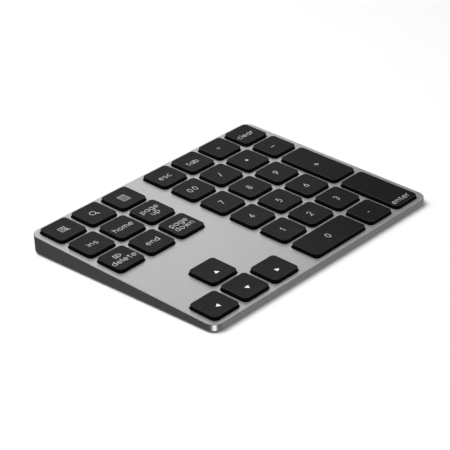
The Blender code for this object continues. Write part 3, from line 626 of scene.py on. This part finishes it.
def housing_mesh():
    """Machined shell with eased edges round the plate, every key hole and the rear openings."""
    bm = bmesh.new()
    normal = (PLATE.to_3x3() @ Vector((0, 0, 1))).normalized()
    ceiling = PLATE_MIDDLE - PLATE_THICKNESS
    outside = [
        body_ring(WALL, BASE + LIP_HEIGHT),
        body_ring(WALL, BASE + SMALL_EDGE),
        body_ring(WALL - SMALL_EDGE, BASE),
        body_ring(CHAMFER_IN, BASE),
        body_ring(CHAMFER_IN / 3, BASE + CHAMFER_UP / 3),
        body_ring(0, BASE + CHAMFER_UP),
    ]
    for inset, drop in rounded_steps(TOP_ROUNDING):
        outside.append(body_ring(inset, PLATE_MIDDLE - drop, SLOPE))
    add_skin(bm, outside)
    add_skin(bm, [body_ring(WALL, ceiling, SLOPE), body_ring(WALL, BASE + LIP_HEIGHT)])
    top_loops = [body_ring(TOP_ROUNDING, PLATE_MIDDLE, SLOPE)]
    ceiling_loops = [body_ring(WALL, ceiling, SLOPE)]
    for key in KEYS:
        edge = [on_plate(key_hole(key, inset, -drop)) for inset, drop in mouth_steps(SMALL_EDGE)]
        bottom = on_plate(key_hole(key, 0.0, -PLATE_THICKNESS))
        add_skin(bm, [*edge, bottom])
        top_loops.append(edge[0])
        ceiling_loops.append(bottom)
    add_flat_fill(bm, top_loops, normal)
    add_flat_fill(bm, ceiling_loops, normal)
    clean(bm)
    mesh = to_mesh("housing_shell", bm)
    return cut(mesh, rear_cutters())


def mouth_steps(radius, count=2):
    """(outset, drop) pairs down a rounded hole edge, from the flat face into the hole."""
    turns = [math.radians(90) * i / count for i in range(count + 1)]
    return [(radius * (1 - math.sin(turn)), radius * (1 - math.cos(turn))) for turn in turns]


def rear_place(node):
    """(matrix, width, height) of a piece in the rear wall; its local Z points out of the rear face."""
    low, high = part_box(node)
    place = Matrix.Translation(((low.x + high.x) / 2, REAR_FACE, (low.z + high.z) / 2)) @ REAR_FRAME
    return place, high.x - low.x, high.z - low.z


def rear_reach(node):
    """How far a piece's front and back stand out from the rear face."""
    low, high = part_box(node)
    return high.y - REAR_FACE, low.y - REAR_FACE


def opening(place, width, height, depth=CUT_DEPTH):
    """Cutter for a round-ended opening whose outer edge is eased."""
    rings = [
        pill(width, height, -depth),
        pill(width, height, -OPENING_EASE),
        pill(width, height, OPENING_EASE, -2 * OPENING_EASE),
    ]
    bm = solid(rings)
    bmesh.ops.transform(bm, matrix=place, verts=bm.verts)
    return bm


def rear_cutters():
    """One bmesh that cuts every opening of the rear wall, and the switch's recess with its slot."""
    port, port_w, port_h = rear_place("usb_port_shell")
    window, _, _ = rear_place("light_window")
    button, _, _ = rear_place("pair_button")
    switch = Matrix.Translation((SWITCH_TRAVEL / 2, 0, 0)) @ rear_place("power_slider")[0]
    hole = 2 * (BUTTON_RADIUS + BUTTON_GAP)
    slot_end = -SWITCH_RECESS[2] + SWITCH_OVERLAP
    slot = solid([ring(*SWITCH_SLOT, SWITCH_SLOT[1] / 2, z, 6) for z in (-CUT_DEPTH, slot_end)])
    bmesh.ops.transform(slot, matrix=switch, verts=slot.verts)
    recess_mesh = cut(to_mesh("recess", opening(switch, *SWITCH_RECESS)), slot, "UNION")
    recess = bmesh.new()
    recess.from_mesh(recess_mesh)
    return gathered(
        [
            opening(port, port_w + 2 * OPENING_GAP, port_h + 2 * OPENING_GAP),
            opening(window, WINDOW_SIZE[0] + 2 * OPENING_GAP, WINDOW_SIZE[1] + 2 * OPENING_GAP),
            opening(button, hole, hole),
            recess,
        ]
    )


def make_housing(wall, plate_painted_light):
    """Housing, whose key plate has a material of its own: a less metallic copy of the walls' aluminium,
    painted light that makes the top face lighter than the walls.
    """
    mesh = housing_mesh()
    shell = add_piece("housing_shell", mesh, wall, "housing", ["top_housing"])
    shell.data.materials.append(plate_painted_light)
    # Upward faces take the plate's painted-light aluminium
    for face in shell.data.polygons:
        if face.normal.z > PLATE_RISE:
            face.material_index = 1


# ----------------------------------------------------------------------------------------- keycaps


def dish_drop(x, y, half_w, half_d):
    """How far the cap's top lies below its rim at a point measured from the cap's middle."""
    across = max(0.0, 1 - (x / half_w) ** 2)
    along = max(0.0, 1 - (y / half_d) ** 2)
    return KEY_DISH * across * along


def keycap_bmesh(width, depth, bottom, top):
    """Cap about its own middle; width and depth are those of its flared lower edge."""
    radius = HOLE_RADIUS - HOLE_GAP

    def cap_ring(inset, z, corner=None):
        size = (width - 2 * inset, depth - 2 * inset)
        corner = max(radius - inset, KEY_LEAST_CORNER) if corner is None else corner
        return ring(*size, min(corner, min(size) / 2), z, KEY_STEPS, along=KEY_SIDE_STEPS)

    inner = radius - KEY_WALL
    flare = KEY_FLARE
    side_top = top - KEY_ROUNDING
    rings = [
        cap_ring(flare + KEY_WALL, top - KEY_TOP_THICKNESS, inner),
        cap_ring(KEY_WALL, bottom, inner),
        cap_ring(SMALL_EDGE, bottom),
        cap_ring(0.0, bottom + SMALL_EDGE),
        cap_ring(flare * FLARE_BREAK[0], bottom + (side_top - bottom) * FLARE_BREAK[1], radius),
    ]
    for inset, drop in rounded_steps(KEY_ROUNDING, 5):
        rings.append(cap_ring(flare + inset, top - drop, radius - inset))
    half_w = width / 2 - flare - KEY_ROUNDING
    half_d = depth / 2 - flare - KEY_ROUNDING
    for part in DISH_RINGS:
        points = cap_ring(flare + KEY_ROUNDING + part * min(half_w, half_d), top)
        for point in points:
            point.z -= dish_drop(point.x, point.y, half_w, half_d)
        rings.append(points)
    bm = bmesh.new()
    loops = add_skin(bm, rings)
    bm.faces.new(reversed(loops[0]))
    clean(bm)
    return bm


def key_frame(key):
    """(matrix, width, depth, bottom, top) of a keycap about its middle."""
    low, high = plate_box(key)
    place = PLATE @ Matrix.Translation(((low.x + high.x) / 2, (low.y + high.y) / 2, 0))
    return place, high.x - low.x, high.y - low.y, low.z, high.z


def make_keycaps(top, rim_painted_highlight, side):
    """Keycaps, with a material each for the top, its rounded rim and the sides: the rim's is a lighter,
    shinier copy of the cap plastic, a painted highlight, and the sides' a darker, duller copy, painted
    shade.
    """
    upwards = PLATE.to_3x3() @ Vector((0, 0, 1))
    for key in KEYS:
        place, *size = key_frame(key)
        name = key.replace("key_", "cap_")
        mesh = to_mesh(name, keycap_bmesh(*size), place)
        cap = add_piece(name, mesh, top, key, [key])
        cap.data.materials.append(rim_painted_highlight)
        cap.data.materials.append(side)
        for face in cap.data.polygons:
            rise = face.normal.dot(upwards)
            # Rim faces take the painted highlight, side faces the painted shade
            face.material_index = 0 if rise > KEY_TOP_RISE else 1 if rise > KEY_SIDE_RISE else 2


def make_domes(material):
    """Rubber film with a hollow dome under each key; the domes ride on the housing and keep their shape
    when a key goes down.
    """
    low, high = plate_box("dome_sheet")
    film_low, film_high = plate_box("membrane_sheet")
    film_middle = (film_low.z + film_high.z) / 2
    film_top = low.z + DOME_FILM
    film = frame["nodes"]["membrane_sheet"].data.copy()
    film.name = "dome_film"
    film.materials.clear()
    film.transform(TO_PLATE)
    for vertex in film.vertices:
        vertex.co.z = film_top if vertex.co.z > film_middle else low.z
    film.transform(PLATE)
    add_piece("dome_film", film, material, "housing", ["dome_sheet"])
    height = high.z - film_top
    profile = [(radius * MM, film_top + share * height) for radius, share in DOME_PROFILE]
    for key in KEYS:
        place = key_frame(key)[0]
        name = key.replace("key_", "dome_")
        bm = solid([disc(radius, z, 4) for radius, z in profile])
        dome = add_piece(name, to_mesh(name, bm, place), material, "housing", ["dome_sheet"])
        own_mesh(dome)


# ----------------------------------------------------------------------------------------- legends


def thicken(bm, thickness):
    """Closes flat shapes at Z = 0 into slabs that reach down by thickness."""
    bmesh.ops.remove_doubles(bm, verts=bm.verts, dist=WELD)
    for face in bm.faces:
        face.normal_update()
    bmesh.ops.reverse_faces(bm, faces=[face for face in bm.faces if face.normal.z < 0])
    tops = bm.faces[:]
    copy = bmesh.ops.duplicate(bm, geom=bm.verts[:] + bm.edges[:] + tops)
    lower = [item for item in copy["geom"] if isinstance(item, bmesh.types.BMFace)]
    lower_verts = [item for item in copy["geom"] if isinstance(item, bmesh.types.BMVert)]
    bmesh.ops.translate(bm, vec=(0, 0, -thickness), verts=lower_verts)
    bmesh.ops.reverse_faces(bm, faces=lower)
    for face in tops:
        for loop in face.loops:
            if loop.edge.is_boundary:
                upper_a, upper_b = loop.vert, loop.link_loop_next.vert
                below = [copy["vert_map"][vertex] for vertex in (upper_b, upper_a)]
                bm.faces.new((upper_b, upper_a, below[1], below[0]))


def polygon(points):
    bm = bmesh.new()
    bm.faces.new([bm.verts.new((x, y, 0)) for x, y in points])
    return bm


def stroke(points, width=STROKE, closed=False):
    """Flat line of even width through points, with mitred corners."""
    count = len(points)
    places = [Vector(point) for point in points]
    left, right = [], []
    bm = bmesh.new()
    for i, place in enumerate(places):
        before = places[i - 1] if closed or i else place
        after = places[(i + 1) % count] if closed or i < count - 1 else place
        into = (place - before).normalized() if before != place else None
        out = (after - place).normalized() if after != place else None
        along = ((into or out) + (out or into)).normalized()
        across = Vector((-along.y, along.x))
        flat = into or out
        reach = width / 2 / max(0.35, abs(across.dot(Vector((-flat.y, flat.x)))))
        left.append(bm.verts.new((*(place + across * reach), 0)))
        right.append(bm.verts.new((*(place - across * reach), 0)))
    for i in range(count if closed else count - 1):
        j = (i + 1) % count
        bm.faces.new((left[i], right[i], right[j], left[j]))
    return bm


def arc(x, y, radius_x, radius_y, start, end, count=16):
    """Points along an elliptical arc, angles in degrees."""
    turns = [math.radians(start + (end - start) * i / count) for i in range(count + 1)]
    return [(x + radius_x * math.cos(turn), y + radius_y * math.sin(turn)) for turn in turns]


def bowl(x=4.3, y=5.0, radius_x=4.3, radius_y=5.0):
    return arc(x, y, radius_x, radius_y, 0, 360, 24)


def arch(x=0.0, width=7.8):
    return [*arc(x + width / 2, 6.0, width / 2, 4.0, 180, 0), (x + width, 0)]


# Width and strokes of each character; the small letters are 10 units high, the digits 14.5
GLYPHS = {
    "a": (8.6, [bowl(), [(8.6, 10), (8.6, 0)]]),
    "b": (8.6, [bowl(), [(0, 14.5), (0, 0)]]),
    "c": (8.0, [arc(4.5, 5, 4.5, 5, 45, 315)]),
    "d": (8.6, [bowl(), [(8.6, 14.5), (8.6, 0)]]),
    "e": (9.0, [[(0.2, 5), *arc(4.5, 5, 4.5, 5, 0, 312)]]),
    "g": (8.6, [bowl(), [(8.6, 10), *arc(4.3, -0.8, 4.3, 3.6, 0, -145)]]),
    "h": (7.8, [[(0, 14.5), (0, 0)], arch()]),
    "i": (0.0, [[(0, 10), (0, 0)], [(0, 14.4), (0, 12.8)]]),
    "l": (0.0, [[(0, 14.5), (0, 0)]]),
    "m": (12.4, [[(0, 10), (0, 0)], arch(0, 6.2), arch(6.2, 6.2)]),
    "n": (7.8, [[(0, 10), (0, 0)], arch()]),
    "o": (9.0, [bowl(4.5, 5, 4.5, 5)]),
    "p": (8.6, [bowl(), [(0, 10), (0, -4.5)]]),
    "r": (5.0, [[(0, 10), (0, 0)], arc(3.6, 6, 3.6, 4, 180, 65)]),
    "s": (7.0, [[*arc(3.5, 7.4, 3.1, 2.6, 35, 260), *arc(3.5, 2.55, 3.5, 2.55, 85, -145)]]),
    "t": (5.4, [[(2.4, 13.6), (2.4, 2.6), *arc(4.8, 2.6, 2.4, 2.6, 200, 275, 6)], [(0, 10), (5.4, 10)]]),
    "u": (7.8, [[(0, 10), *arc(3.9, 4, 3.9, 4, 180, 360)], [(7.8, 10), (7.8, 0)]]),
    "w": (12.0, [[(0, 10), (3, 0), (6, 10), (9, 0), (12, 10)]]),
    "0": (8.6, [bowl(4.3, 7.25, 4.3, 7.25)]),
    "1": (3.6, [[(0, 11.6), (3.6, 14.5), (3.6, 0)]]),
    "2": (8.2, [[*arc(4.1, 10.4, 3.9, 4.1, 170, -35), (0, 0), (8.4, 0)]]),
    "3": (8.0, [[*arc(3.9, 10.95, 3.5, 3.55, 150, -90), *arc(3.9, 3.7, 4.1, 3.7, 90, -150)]]),
    "4": (8.4, [[(6.2, 0), (6.2, 14.5), (0, 4.2), (8.6, 4.2)]]),
    "5": (8.0, [[(7.4, 14.5), (1.3, 14.5), (0.7, 8.2), *arc(3.9, 4.7, 4.1, 4.7, 125, -145)]]),
    "6": (8.2, [bowl(4.1, 4.6, 4.1, 4.6), [(6.6, 14.5), (2.6, 9.8), (0.7, 7.0)]]),
    "7": (8.0, [[(0, 14.5), (8.0, 14.5), (2.6, 0)]]),
    "8": (8.2, [bowl(4.1, 10.9, 3.4, 3.6), bowl(4.1, 3.65, 4.1, 3.65)]),
    "9": (8.2, [bowl(4.1, 9.9, 4.1, 4.6), [(1.6, 0), (5.6, 4.7), (7.5, 7.5)]]),
}


def lettering(text, unit, baseline, gap):
    """Strokes of a line of text, centred on X and standing on its baseline."""
    total = sum(GLYPHS[letter][0] for letter in text) + gap * (len(text) - 1)
    start = -total / 2
    shapes = []
    for letter in text:
        width, lines = GLYPHS[letter]
        for line in lines:
            points = [((start + x) * unit, baseline + y * unit) for x, y in line]
            closed = (Vector(points[0]) - Vector(points[-1])).length < WELD
            shapes.append(stroke(points[:-1] if closed else points, LETTER_STROKE, closed))
        start += width + gap
    return shapes


def box_outline(x, y, width, depth):
    left, right = x - width / 2, x + width / 2
    low, high = y - depth / 2, y + depth / 2
    return [(left, low), (right, low), (right, high), (left, high)]


def capture_icon():
    """Picture frame with a lens in it and a short handle."""
    return [
        stroke(box_outline(-0.25, -0.15, 3.5, 3.5), 0.3, closed=True),
        stroke(arc(-0.2, -0.05, 0.8, 0.8, 0, 360)[:-1], 0.28, closed=True),
        stroke([(0.5, -0.8), (2.3, -2.5)], 0.36),
    ]


def search_icon():
    return [
        stroke(arc(-0.45, 0.25, 1.5, 1.5, 0, 360, 32)[:-1], 0.36, closed=True),
        stroke([(0.75, -0.95), (1.85, -2.05)], 0.5),
    ]


def calculator_icon():
    """Calculator with a display and rows of keys."""
    shapes = [
        stroke(box_outline(-0.2, -0.35, 4.1, 5.0), 0.22, closed=True),
        stroke(box_outline(-0.2, 1.3, 2.9, 0.7), 0.18, closed=True),
    ]
    for column in range(4):
        for row in range(4):
            shapes.append(polygon(box_outline(-1.46 + 0.84 * column, 0.3 - 0.8 * row, 0.4, 0.36)))
    return shapes


def delete_icon():
    """Arrow-shaped tag with a cross in it, above the word."""
    tag = [(-1.85, 1.15), (0.65, 1.15), (1.95, 2.3), (0.65, 3.45), (-1.85, 3.45)]
    return [
        stroke(tag, 0.32, closed=True),
        stroke([(-1.0, 1.75), (0.1, 2.85)], 0.3),
        stroke([(-1.0, 2.85), (0.1, 1.75)], 0.3),
    ]


def arrow_icon(turn):
    """Solid triangle below the cap's middle, pointing up before it is turned."""
    spin = Matrix.Rotation(math.radians(turn), 2)
    corners = [spin @ Vector(point) for point in ((-1.25, -1.0), (1.25, -1.0), (0.0, 1.05))]
    return [polygon([(x, y - 1.8) for x, y in corners])]


def asterisk():
    turns = (90, 150, 210)
    ends = [(0.95 * math.cos(math.radians(turn)), 0.95 * math.sin(math.radians(turn))) for turn in turns]
    return [stroke([(-x, -y), (x, y)], 0.4) for x, y in ends]


def word(text):
    return lettering(text, LETTER_UNIT, WORD_BASELINE, LETTER_GAP)


def two_words(upper, lower):
    shapes = lettering(upper, LETTER_UNIT, UPPER_BASELINE, LETTER_GAP)
    return shapes + lettering(lower, LETTER_UNIT, LOWER_BASELINE, LETTER_GAP)


def digits(text):
    return lettering(text, DIGIT_UNIT, DIGIT_BASELINE, DIGIT_GAP)


LEGENDS = {
    "key_capture": capture_icon,
    "key_search": search_icon,
    "key_calculator": calculator_icon,
    "key_insert": lambda: word("ins"),
    "key_home": lambda: word("home"),
    "key_page_up": lambda: two_words("page", "up"),
    "key_delete": lambda: delete_icon() + lettering("delete", LETTER_UNIT, LOWER_BASELINE, LETTER_GAP),
    "key_end": lambda: word("end"),
    "key_page_down": lambda: two_words("page", "down"),
    "key_arrow_up": lambda: arrow_icon(0),
    "key_arrow_left": lambda: arrow_icon(90),
    "key_arrow_down": lambda: arrow_icon(180),
    "key_arrow_right": lambda: arrow_icon(-90),
    "key_escape": lambda: word("esc"),
    "key_tab": lambda: word("tab"),
    "key_equals": lambda: [stroke([(-0.85, y), (0.85, y)], 0.28) for y in (-0.5, 0.5)],
    "key_clear": lambda: word("clear"),
    "key_double_zero": lambda: digits("00"),
    "key_divide": lambda: [stroke([(-0.75, -1.8), (0.75, 1.8)])],
    "key_multiply": asterisk,
    "key_minus": lambda: [stroke([(-1.3, 0), (1.3, 0)])],
    "key_plus": lambda: [stroke([(-1.3, 0), (1.3, 0)]), stroke([(0, -1.3), (0, 1.3)])],
    "key_enter": lambda: lettering("enter", LETTER_UNIT, ENTER_BASELINE, LETTER_GAP),
    "key_decimal": lambda: [polygon(box_outline(0, -0.5, 0.55, 0.55))],
}


def make_legends(ink, bright_ink):
    """Printed legends, thin slabs that follow each cap's dish; the arrows are the brighter ones."""
    for key in KEYS:
        place, width, depth, _, top = key_frame(key)
        low, _ = plate_box(key)
        shift = NAVIGATION_SHIFT if low.x < NAVIGATION_EDGE else NUMBER_SHIFT
        shapes = LEGENDS[key]() if key in LEGENDS else digits(key[-1])
        bm = gathered(shapes)
        bmesh.ops.scale(bm, vec=(MM, MM, MM), verts=bm.verts)
        bmesh.ops.translate(bm, vec=(shift[0] * MM, shift[1] * MM, 0), verts=bm.verts)
        thicken(bm, LEGEND_LIFT + LEGEND_SINK)
        half_w = width / 2 - KEY_FLARE - KEY_ROUNDING
        half_d = depth / 2 - KEY_FLARE - KEY_ROUNDING
        for vertex in bm.verts:
            drop = dish_drop(vertex.co.x, vertex.co.y, half_w, half_d)
            vertex.co.z += top - drop + LEGEND_LIFT
        name = key.replace("key_", "legend_")
        is_arrow = key.startswith("key_arrow")
        add_piece(name, to_mesh(name, bm, place), bright_ink if is_arrow else ink, key)


# --------------------------------------------------------------------------------- cover and feet


def make_cover(material):
    low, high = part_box("bottom_cover")
    inset = WALL + COVER_GAP
    steps = rounded_steps(COVER_EDGE, 3)
    rings = [body_ring(inset + step, low.z + drop) for step, drop in reversed(steps)]
    rings.append(body_ring(inset, high.z))
    mesh = to_mesh("bottom_plate", solid(rings))
    add_piece("bottom_plate", mesh, material, "housing", ["bottom_cover"])


def make_feet(material):
    """Round pads with a rolled lower edge and a shallow ring pressed into the face."""
    for node in [name for name in frame["nodes"] if name.startswith("foot_")]:
        low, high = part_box(node)
        radius = (high.x - low.x) / 2
        profile = [(radius, high.z)]
        profile += [(radius - inset, low.z + drop) for inset, drop in rounded_steps(FOOT_EDGE, 4)]
        profile += [(radius - inset, low.z + rise) for inset, rise in FOOT_RING]
        rings = [disc(size, z) for size, z in reversed(profile)]
        middle = Matrix.Translation(((low.x + high.x) / 2, (low.y + high.y) / 2, 0))
        name = node.replace("foot_", "pad_")
        add_piece(name, to_mesh(name, solid(rings), middle), material, "housing", [node])


# ----------------------------------------------------------------------------------- rear controls


def make_port_shell(material):
    """Tube with a closed back and a mouth eased on both sides."""
    place, width, height = rear_place("usb_port_shell")
    mouth, back = rear_reach("usb_port_shell")
    inner = (width - 2 * PORT_WALL, height - 2 * PORT_WALL)
    rings = [
        pill(*inner, back + PORT_FLOOR),
        pill(*inner, mouth - PORT_LIP),
        pill(*inner, mouth, -PORT_LIP),
        pill(width, height, mouth, PORT_LIP),
        pill(width, height, mouth - PORT_LIP),
        pill(width, height, back),
    ]
    mesh = to_mesh("port_shell", solid(rings), place)
    add_piece("port_shell", mesh, material, "housing", ["usb_port_shell"])


def make_port_tongue(material, contact_material):
    """Tongue on a thicker base, with a row of contacts on each face."""
    place, _, _ = rear_place("usb_port_shell")
    front, floor = rear_reach("usb_port_tongue")
    step = floor + TONGUE_BASE_DEPTH
    tip = [size - 2 * TONGUE_TAPER for size in TONGUE_SIZE]
    rings = [
        ring(*TONGUE_BASE, floor, 5),
        ring(*TONGUE_BASE, step, 5),
        ring(*TONGUE_SIZE, TONGUE_CORNER, step, 5),
        ring(*TONGUE_SIZE, TONGUE_CORNER, front - TONGUE_TAPER, 5),
        ring(*tip, TONGUE_TIP_CORNER, front, 5),
    ]
    mesh = to_mesh("port_tongue", solid(rings), place)
    add_piece("port_tongue", mesh, material, "housing", ["usb_port_tongue"])
    half_w, half_h = CONTACT_HALF
    rear, ahead = step + CONTACT_MARGINS[0], front - CONTACT_MARGINS[1]
    pads = []
    for side in (-1, 1):
        y = side * TONGUE_SIZE[1] / 2
        for i in range(CONTACTS):
            x = (i - (CONTACTS - 1) / 2) * CONTACT_PITCH
            pads.append(block((x - half_w, y - half_h, rear), (x + half_w, y + half_h, ahead)))
    mesh = to_mesh("port_contacts", gathered(pads), place)
    add_piece("port_contacts", mesh, contact_material, "housing")


def make_slider(material):
    """Knob with finger ridges, in the recess of the rear wall."""
    place, width, height = rear_place("power_slider")
    front, stem_end = rear_reach("power_slider")
    ledge = front - RIDGE_RISE
    back = -SWITCH_RECESS[2] + KNOB_GAP
    corner = height / 4
    rings = [
        ring(*KNOB_STEM, stem_end, 4),
        ring(*KNOB_STEM, back, 4),
        ring(width, height, corner, back, 4),
        ring(width, height, corner, ledge - KNOB_EASE, 4),
        ring(width - 2 * KNOB_EASE, height - 2 * KNOB_EASE, corner - KNOB_EASE, ledge, 4),
    ]
    parts = [solid(rings)]
    heights = (ledge - RIDGE_SINK, ledge + RIDGE_RISE / 2, front)
    for i in (-1, 0, 1):
        centre = (i * RIDGE_PITCH, 0.0)
        ridge = [
            ring(ridge_w, RIDGE_LENGTH + ridge_w, RIDGE_CORNER, z, 3, centre)
            for ridge_w, z in zip(RIDGE_WIDTHS, heights)
        ]
        parts.append(solid(ridge))
    mesh = to_mesh("slider_knob", gathered(parts), place)
    add_piece("slider_knob", mesh, material, "power_slider", ["power_slider"])


def make_button(material):
    """Push button with a slightly hollow face, and a flange that keeps it in the wall."""
    place, _, _ = rear_place("pair_button")
    front, tip = rear_reach("pair_button")
    flange_radius, flange_thickness = BUTTON_FLANGE
    flange_top = -WALL - FLANGE_GAP
    flange_low = flange_top - flange_thickness
    profile = [(BUTTON_STEM, tip), (BUTTON_STEM, flange_low)]
    profile += [(flange_radius, flange_low), (flange_radius, flange_top), (BUTTON_RADIUS, flange_top)]
    profile += [(BUTTON_RADIUS - inset, front - drop) for inset, drop in rounded_steps(CONTROL_EDGE, 4)]
    profile += [(radius, front - depth) for radius, depth in BUTTON_HOLLOW]
    mesh = to_mesh("button_cap", solid([disc(radius, z, 8) for radius, z in profile]), place)
    add_piece("button_cap", mesh, material, "pair_button", ["pair_button"])


def make_window(material):
    """Long light bar, with a flange behind the wall."""
    place, flange_w, flange_h = rear_place("light_window")
    front, back = rear_reach("light_window")
    flange_top = -WALL - FLANGE_GAP
    rings = [pill(flange_w, flange_h, back), pill(flange_w, flange_h, flange_top)]
    rings.append(pill(*WINDOW_SIZE, flange_top))
    for inset, drop in rounded_steps(CONTROL_EDGE, 4):
        rings.append(pill(*WINDOW_SIZE, front - drop, inset))
    mesh = to_mesh("light_bar", solid(rings), place)
    add_piece("light_bar", mesh, material, "housing", ["light_window"])


# --------------------------------------------------------------------- camera, floor and lighting


def make_camera():
    camera = bpy.data.objects.new("camera", bpy.data.cameras.new("camera"))
    bpy.context.scene.collection.objects.link(camera)
    forward = Vector(CAMERA_FORWARD).normalized()
    right = forward.cross(Vector(CAMERA_UP)).normalized()
    up = right.cross(forward)
    target = Vector(CAMERA_TARGET) * MM
    axes = Matrix((right, up, -forward)).transposed().to_4x4()
    camera.matrix_world = PLATE @ Matrix.Translation(target - forward * CAMERA_DISTANCE) @ axes
    camera.data.lens = CAMERA_LENS
    camera.data.sensor_width = CAMERA_SENSOR
    camera.data.clip_start, camera.data.clip_end = CAMERA_CLIP
    bpy.context.scene.camera = camera


def make_floor():
    bm = bmesh.new()
    bmesh.ops.create_grid(bm, x_segments=1, y_segments=1, size=FLOOR_REACH)
    floor = bpy.data.objects.new("floor", to_mesh("floor", bm))
    material = new_material("floor_paper", (0.9, 0.9, 0.9), 0.9, Specular_IOR_Level=0.1)
    vary_colour(material, 40 * MM, (0.89, 0.89, 0.89), (0.91, 0.91, 0.91))
    floor.data.materials.append(material)
    bpy.context.scene.collection.objects.link(floor)
    floor.visible_glossy = False


def area_light(name, place, target, size, power):
    data = bpy.data.lights.new(name, "AREA")
    data.shape = "RECTANGLE"
    data.size, data.size_y = size
    data.energy = power
    light = bpy.data.objects.new(name, data)
    light.location = place
    light.rotation_euler = (Vector(target) - Vector(place)).to_track_quat("-Z", "Y").to_euler()
    bpy.context.scene.collection.objects.link(light)
    return light


def add_glow(world, total, direction, sharpness, strength):
    """Adds a soft round glow in one direction of the world to the running total."""
    nodes, links = world.node_tree.nodes, world.node_tree.links
    coordinates = nodes.new("ShaderNodeTexCoord")
    facing = nodes.new("ShaderNodeVectorMath")
    facing.operation = "DOT_PRODUCT"
    facing.inputs[1].default_value = Vector(direction).normalized()
    links.new(coordinates.outputs["Generated"], facing.inputs[0])
    positive = nodes.new("ShaderNodeMath")
    positive.operation = "MAXIMUM"
    positive.inputs[1].default_value = 0.0
    links.new(facing.outputs["Value"], positive.inputs[0])
    power = nodes.new("ShaderNodeMath")
    power.operation = "POWER"
    power.inputs[1].default_value = sharpness
    links.new(positive.outputs["Value"], power.inputs[0])
    sum_node = nodes.new("ShaderNodeMath")
    sum_node.operation = "MULTIPLY_ADD"
    sum_node.inputs[1].default_value = strength
    links.new(power.outputs["Value"], sum_node.inputs[0])
    links.new(total, sum_node.inputs[2])
    return sum_node.outputs["Value"]


def make_world():
    """Soft studio surround, the sum of an even light and the glows."""
    world = bpy.data.worlds.new("studio")
    bpy.context.scene.world = world
    world.use_nodes = True
    base = world.node_tree.nodes.new("ShaderNodeValue")
    base.outputs["Value"].default_value = WORLD_BASE
    total = base.outputs["Value"]
    for glow in GLOWS:
        total = add_glow(world, total, *glow)
    background = world.node_tree.nodes["Background"]
    background.inputs["Color"].default_value = (1.0, 1.0, 1.0, 1.0)
    world.node_tree.links.new(total, background.inputs["Strength"])


def make_lights():
    """Soft overhead light, and a sheen that adds gloss alone and casts no shadow."""
    overhead = area_light("overhead", OVERHEAD_PLACE, (0, 0, 0), OVERHEAD_SIZE, OVERHEAD_POWER)
    overhead.visible_glossy = False
    spot = PLATE @ (Vector(SHEEN_SPOT) * MM)
    sheen = area_light("sheen", spot + Vector(SHEEN_WAY) * SHEEN_REACH, spot, SHEEN_SIZE, SHEEN_POWER)
    sheen.visible_diffuse = False
    sheen.data.use_shadow = False


# The key plate's aluminium is less metallic than the walls', painted light that lightens the top face
make_housing(aluminium("anodised_wall", 1.0), aluminium("anodised_plate_painted_light", 0.78))
# The lighter, shinier rim plastic is a painted highlight; the darker, duller side plastic is painted
# shade
make_keycaps(
    keycap_plastic("keycap_top", 0.007, 0.14),
    keycap_plastic("keycap_rim_painted_highlight", 0.020, 0.5),
    keycap_plastic("keycap_side_painted_shade", 0.002, 0.03),
)
make_legends(legend_ink("legend_ink", 0.55), legend_ink("bright_legend_ink", 0.9))
make_cover(cover_plastic())
make_feet(rubber("foot_rubber", (0.055, 0.055, 0.057), 0.75))
steel = plated_steel()
dark_plastic = moulded("switch_plastic", (0.018, 0.018, 0.02), 0.5)
control = moulded("control_plastic", (0.10, 0.10, 0.105), 0.42)
make_port_shell(steel)
make_port_tongue(dark_plastic, gold())
make_slider(control)
make_button(control)
make_window(diffuser())
dome_rubber = rubber("dome_rubber", (0.012, 0.012, 0.013), 0.7)
film = moulded("membrane_film", (0.03, 0.03, 0.035), 0.35)
make_domes(dome_rubber)
# Hidden CAD nodes that are shown as they are, by the start of their names
CARRIED = (
    ("membrane_", film),
    ("key_support_plate", steel),
    ("stabiliser_wire_", steel),
    ("plate_screw_", steel),
    ("main_board", board_laminate()),
    ("battery", battery_foil()),
    ("power_switch_body", dark_plastic),
    ("pair_switch", dark_plastic),
)
for prefix, material in CARRIED:
    for node in [name for name in frame["nodes"] if name.startswith(prefix)]:
        frame["nodes"][node].data.materials.clear()
        frame["nodes"][node].data.materials.append(material)

bpy.context.scene.view_settings.view_transform = "Standard"
make_camera()
make_floor()
make_world()
make_lights()
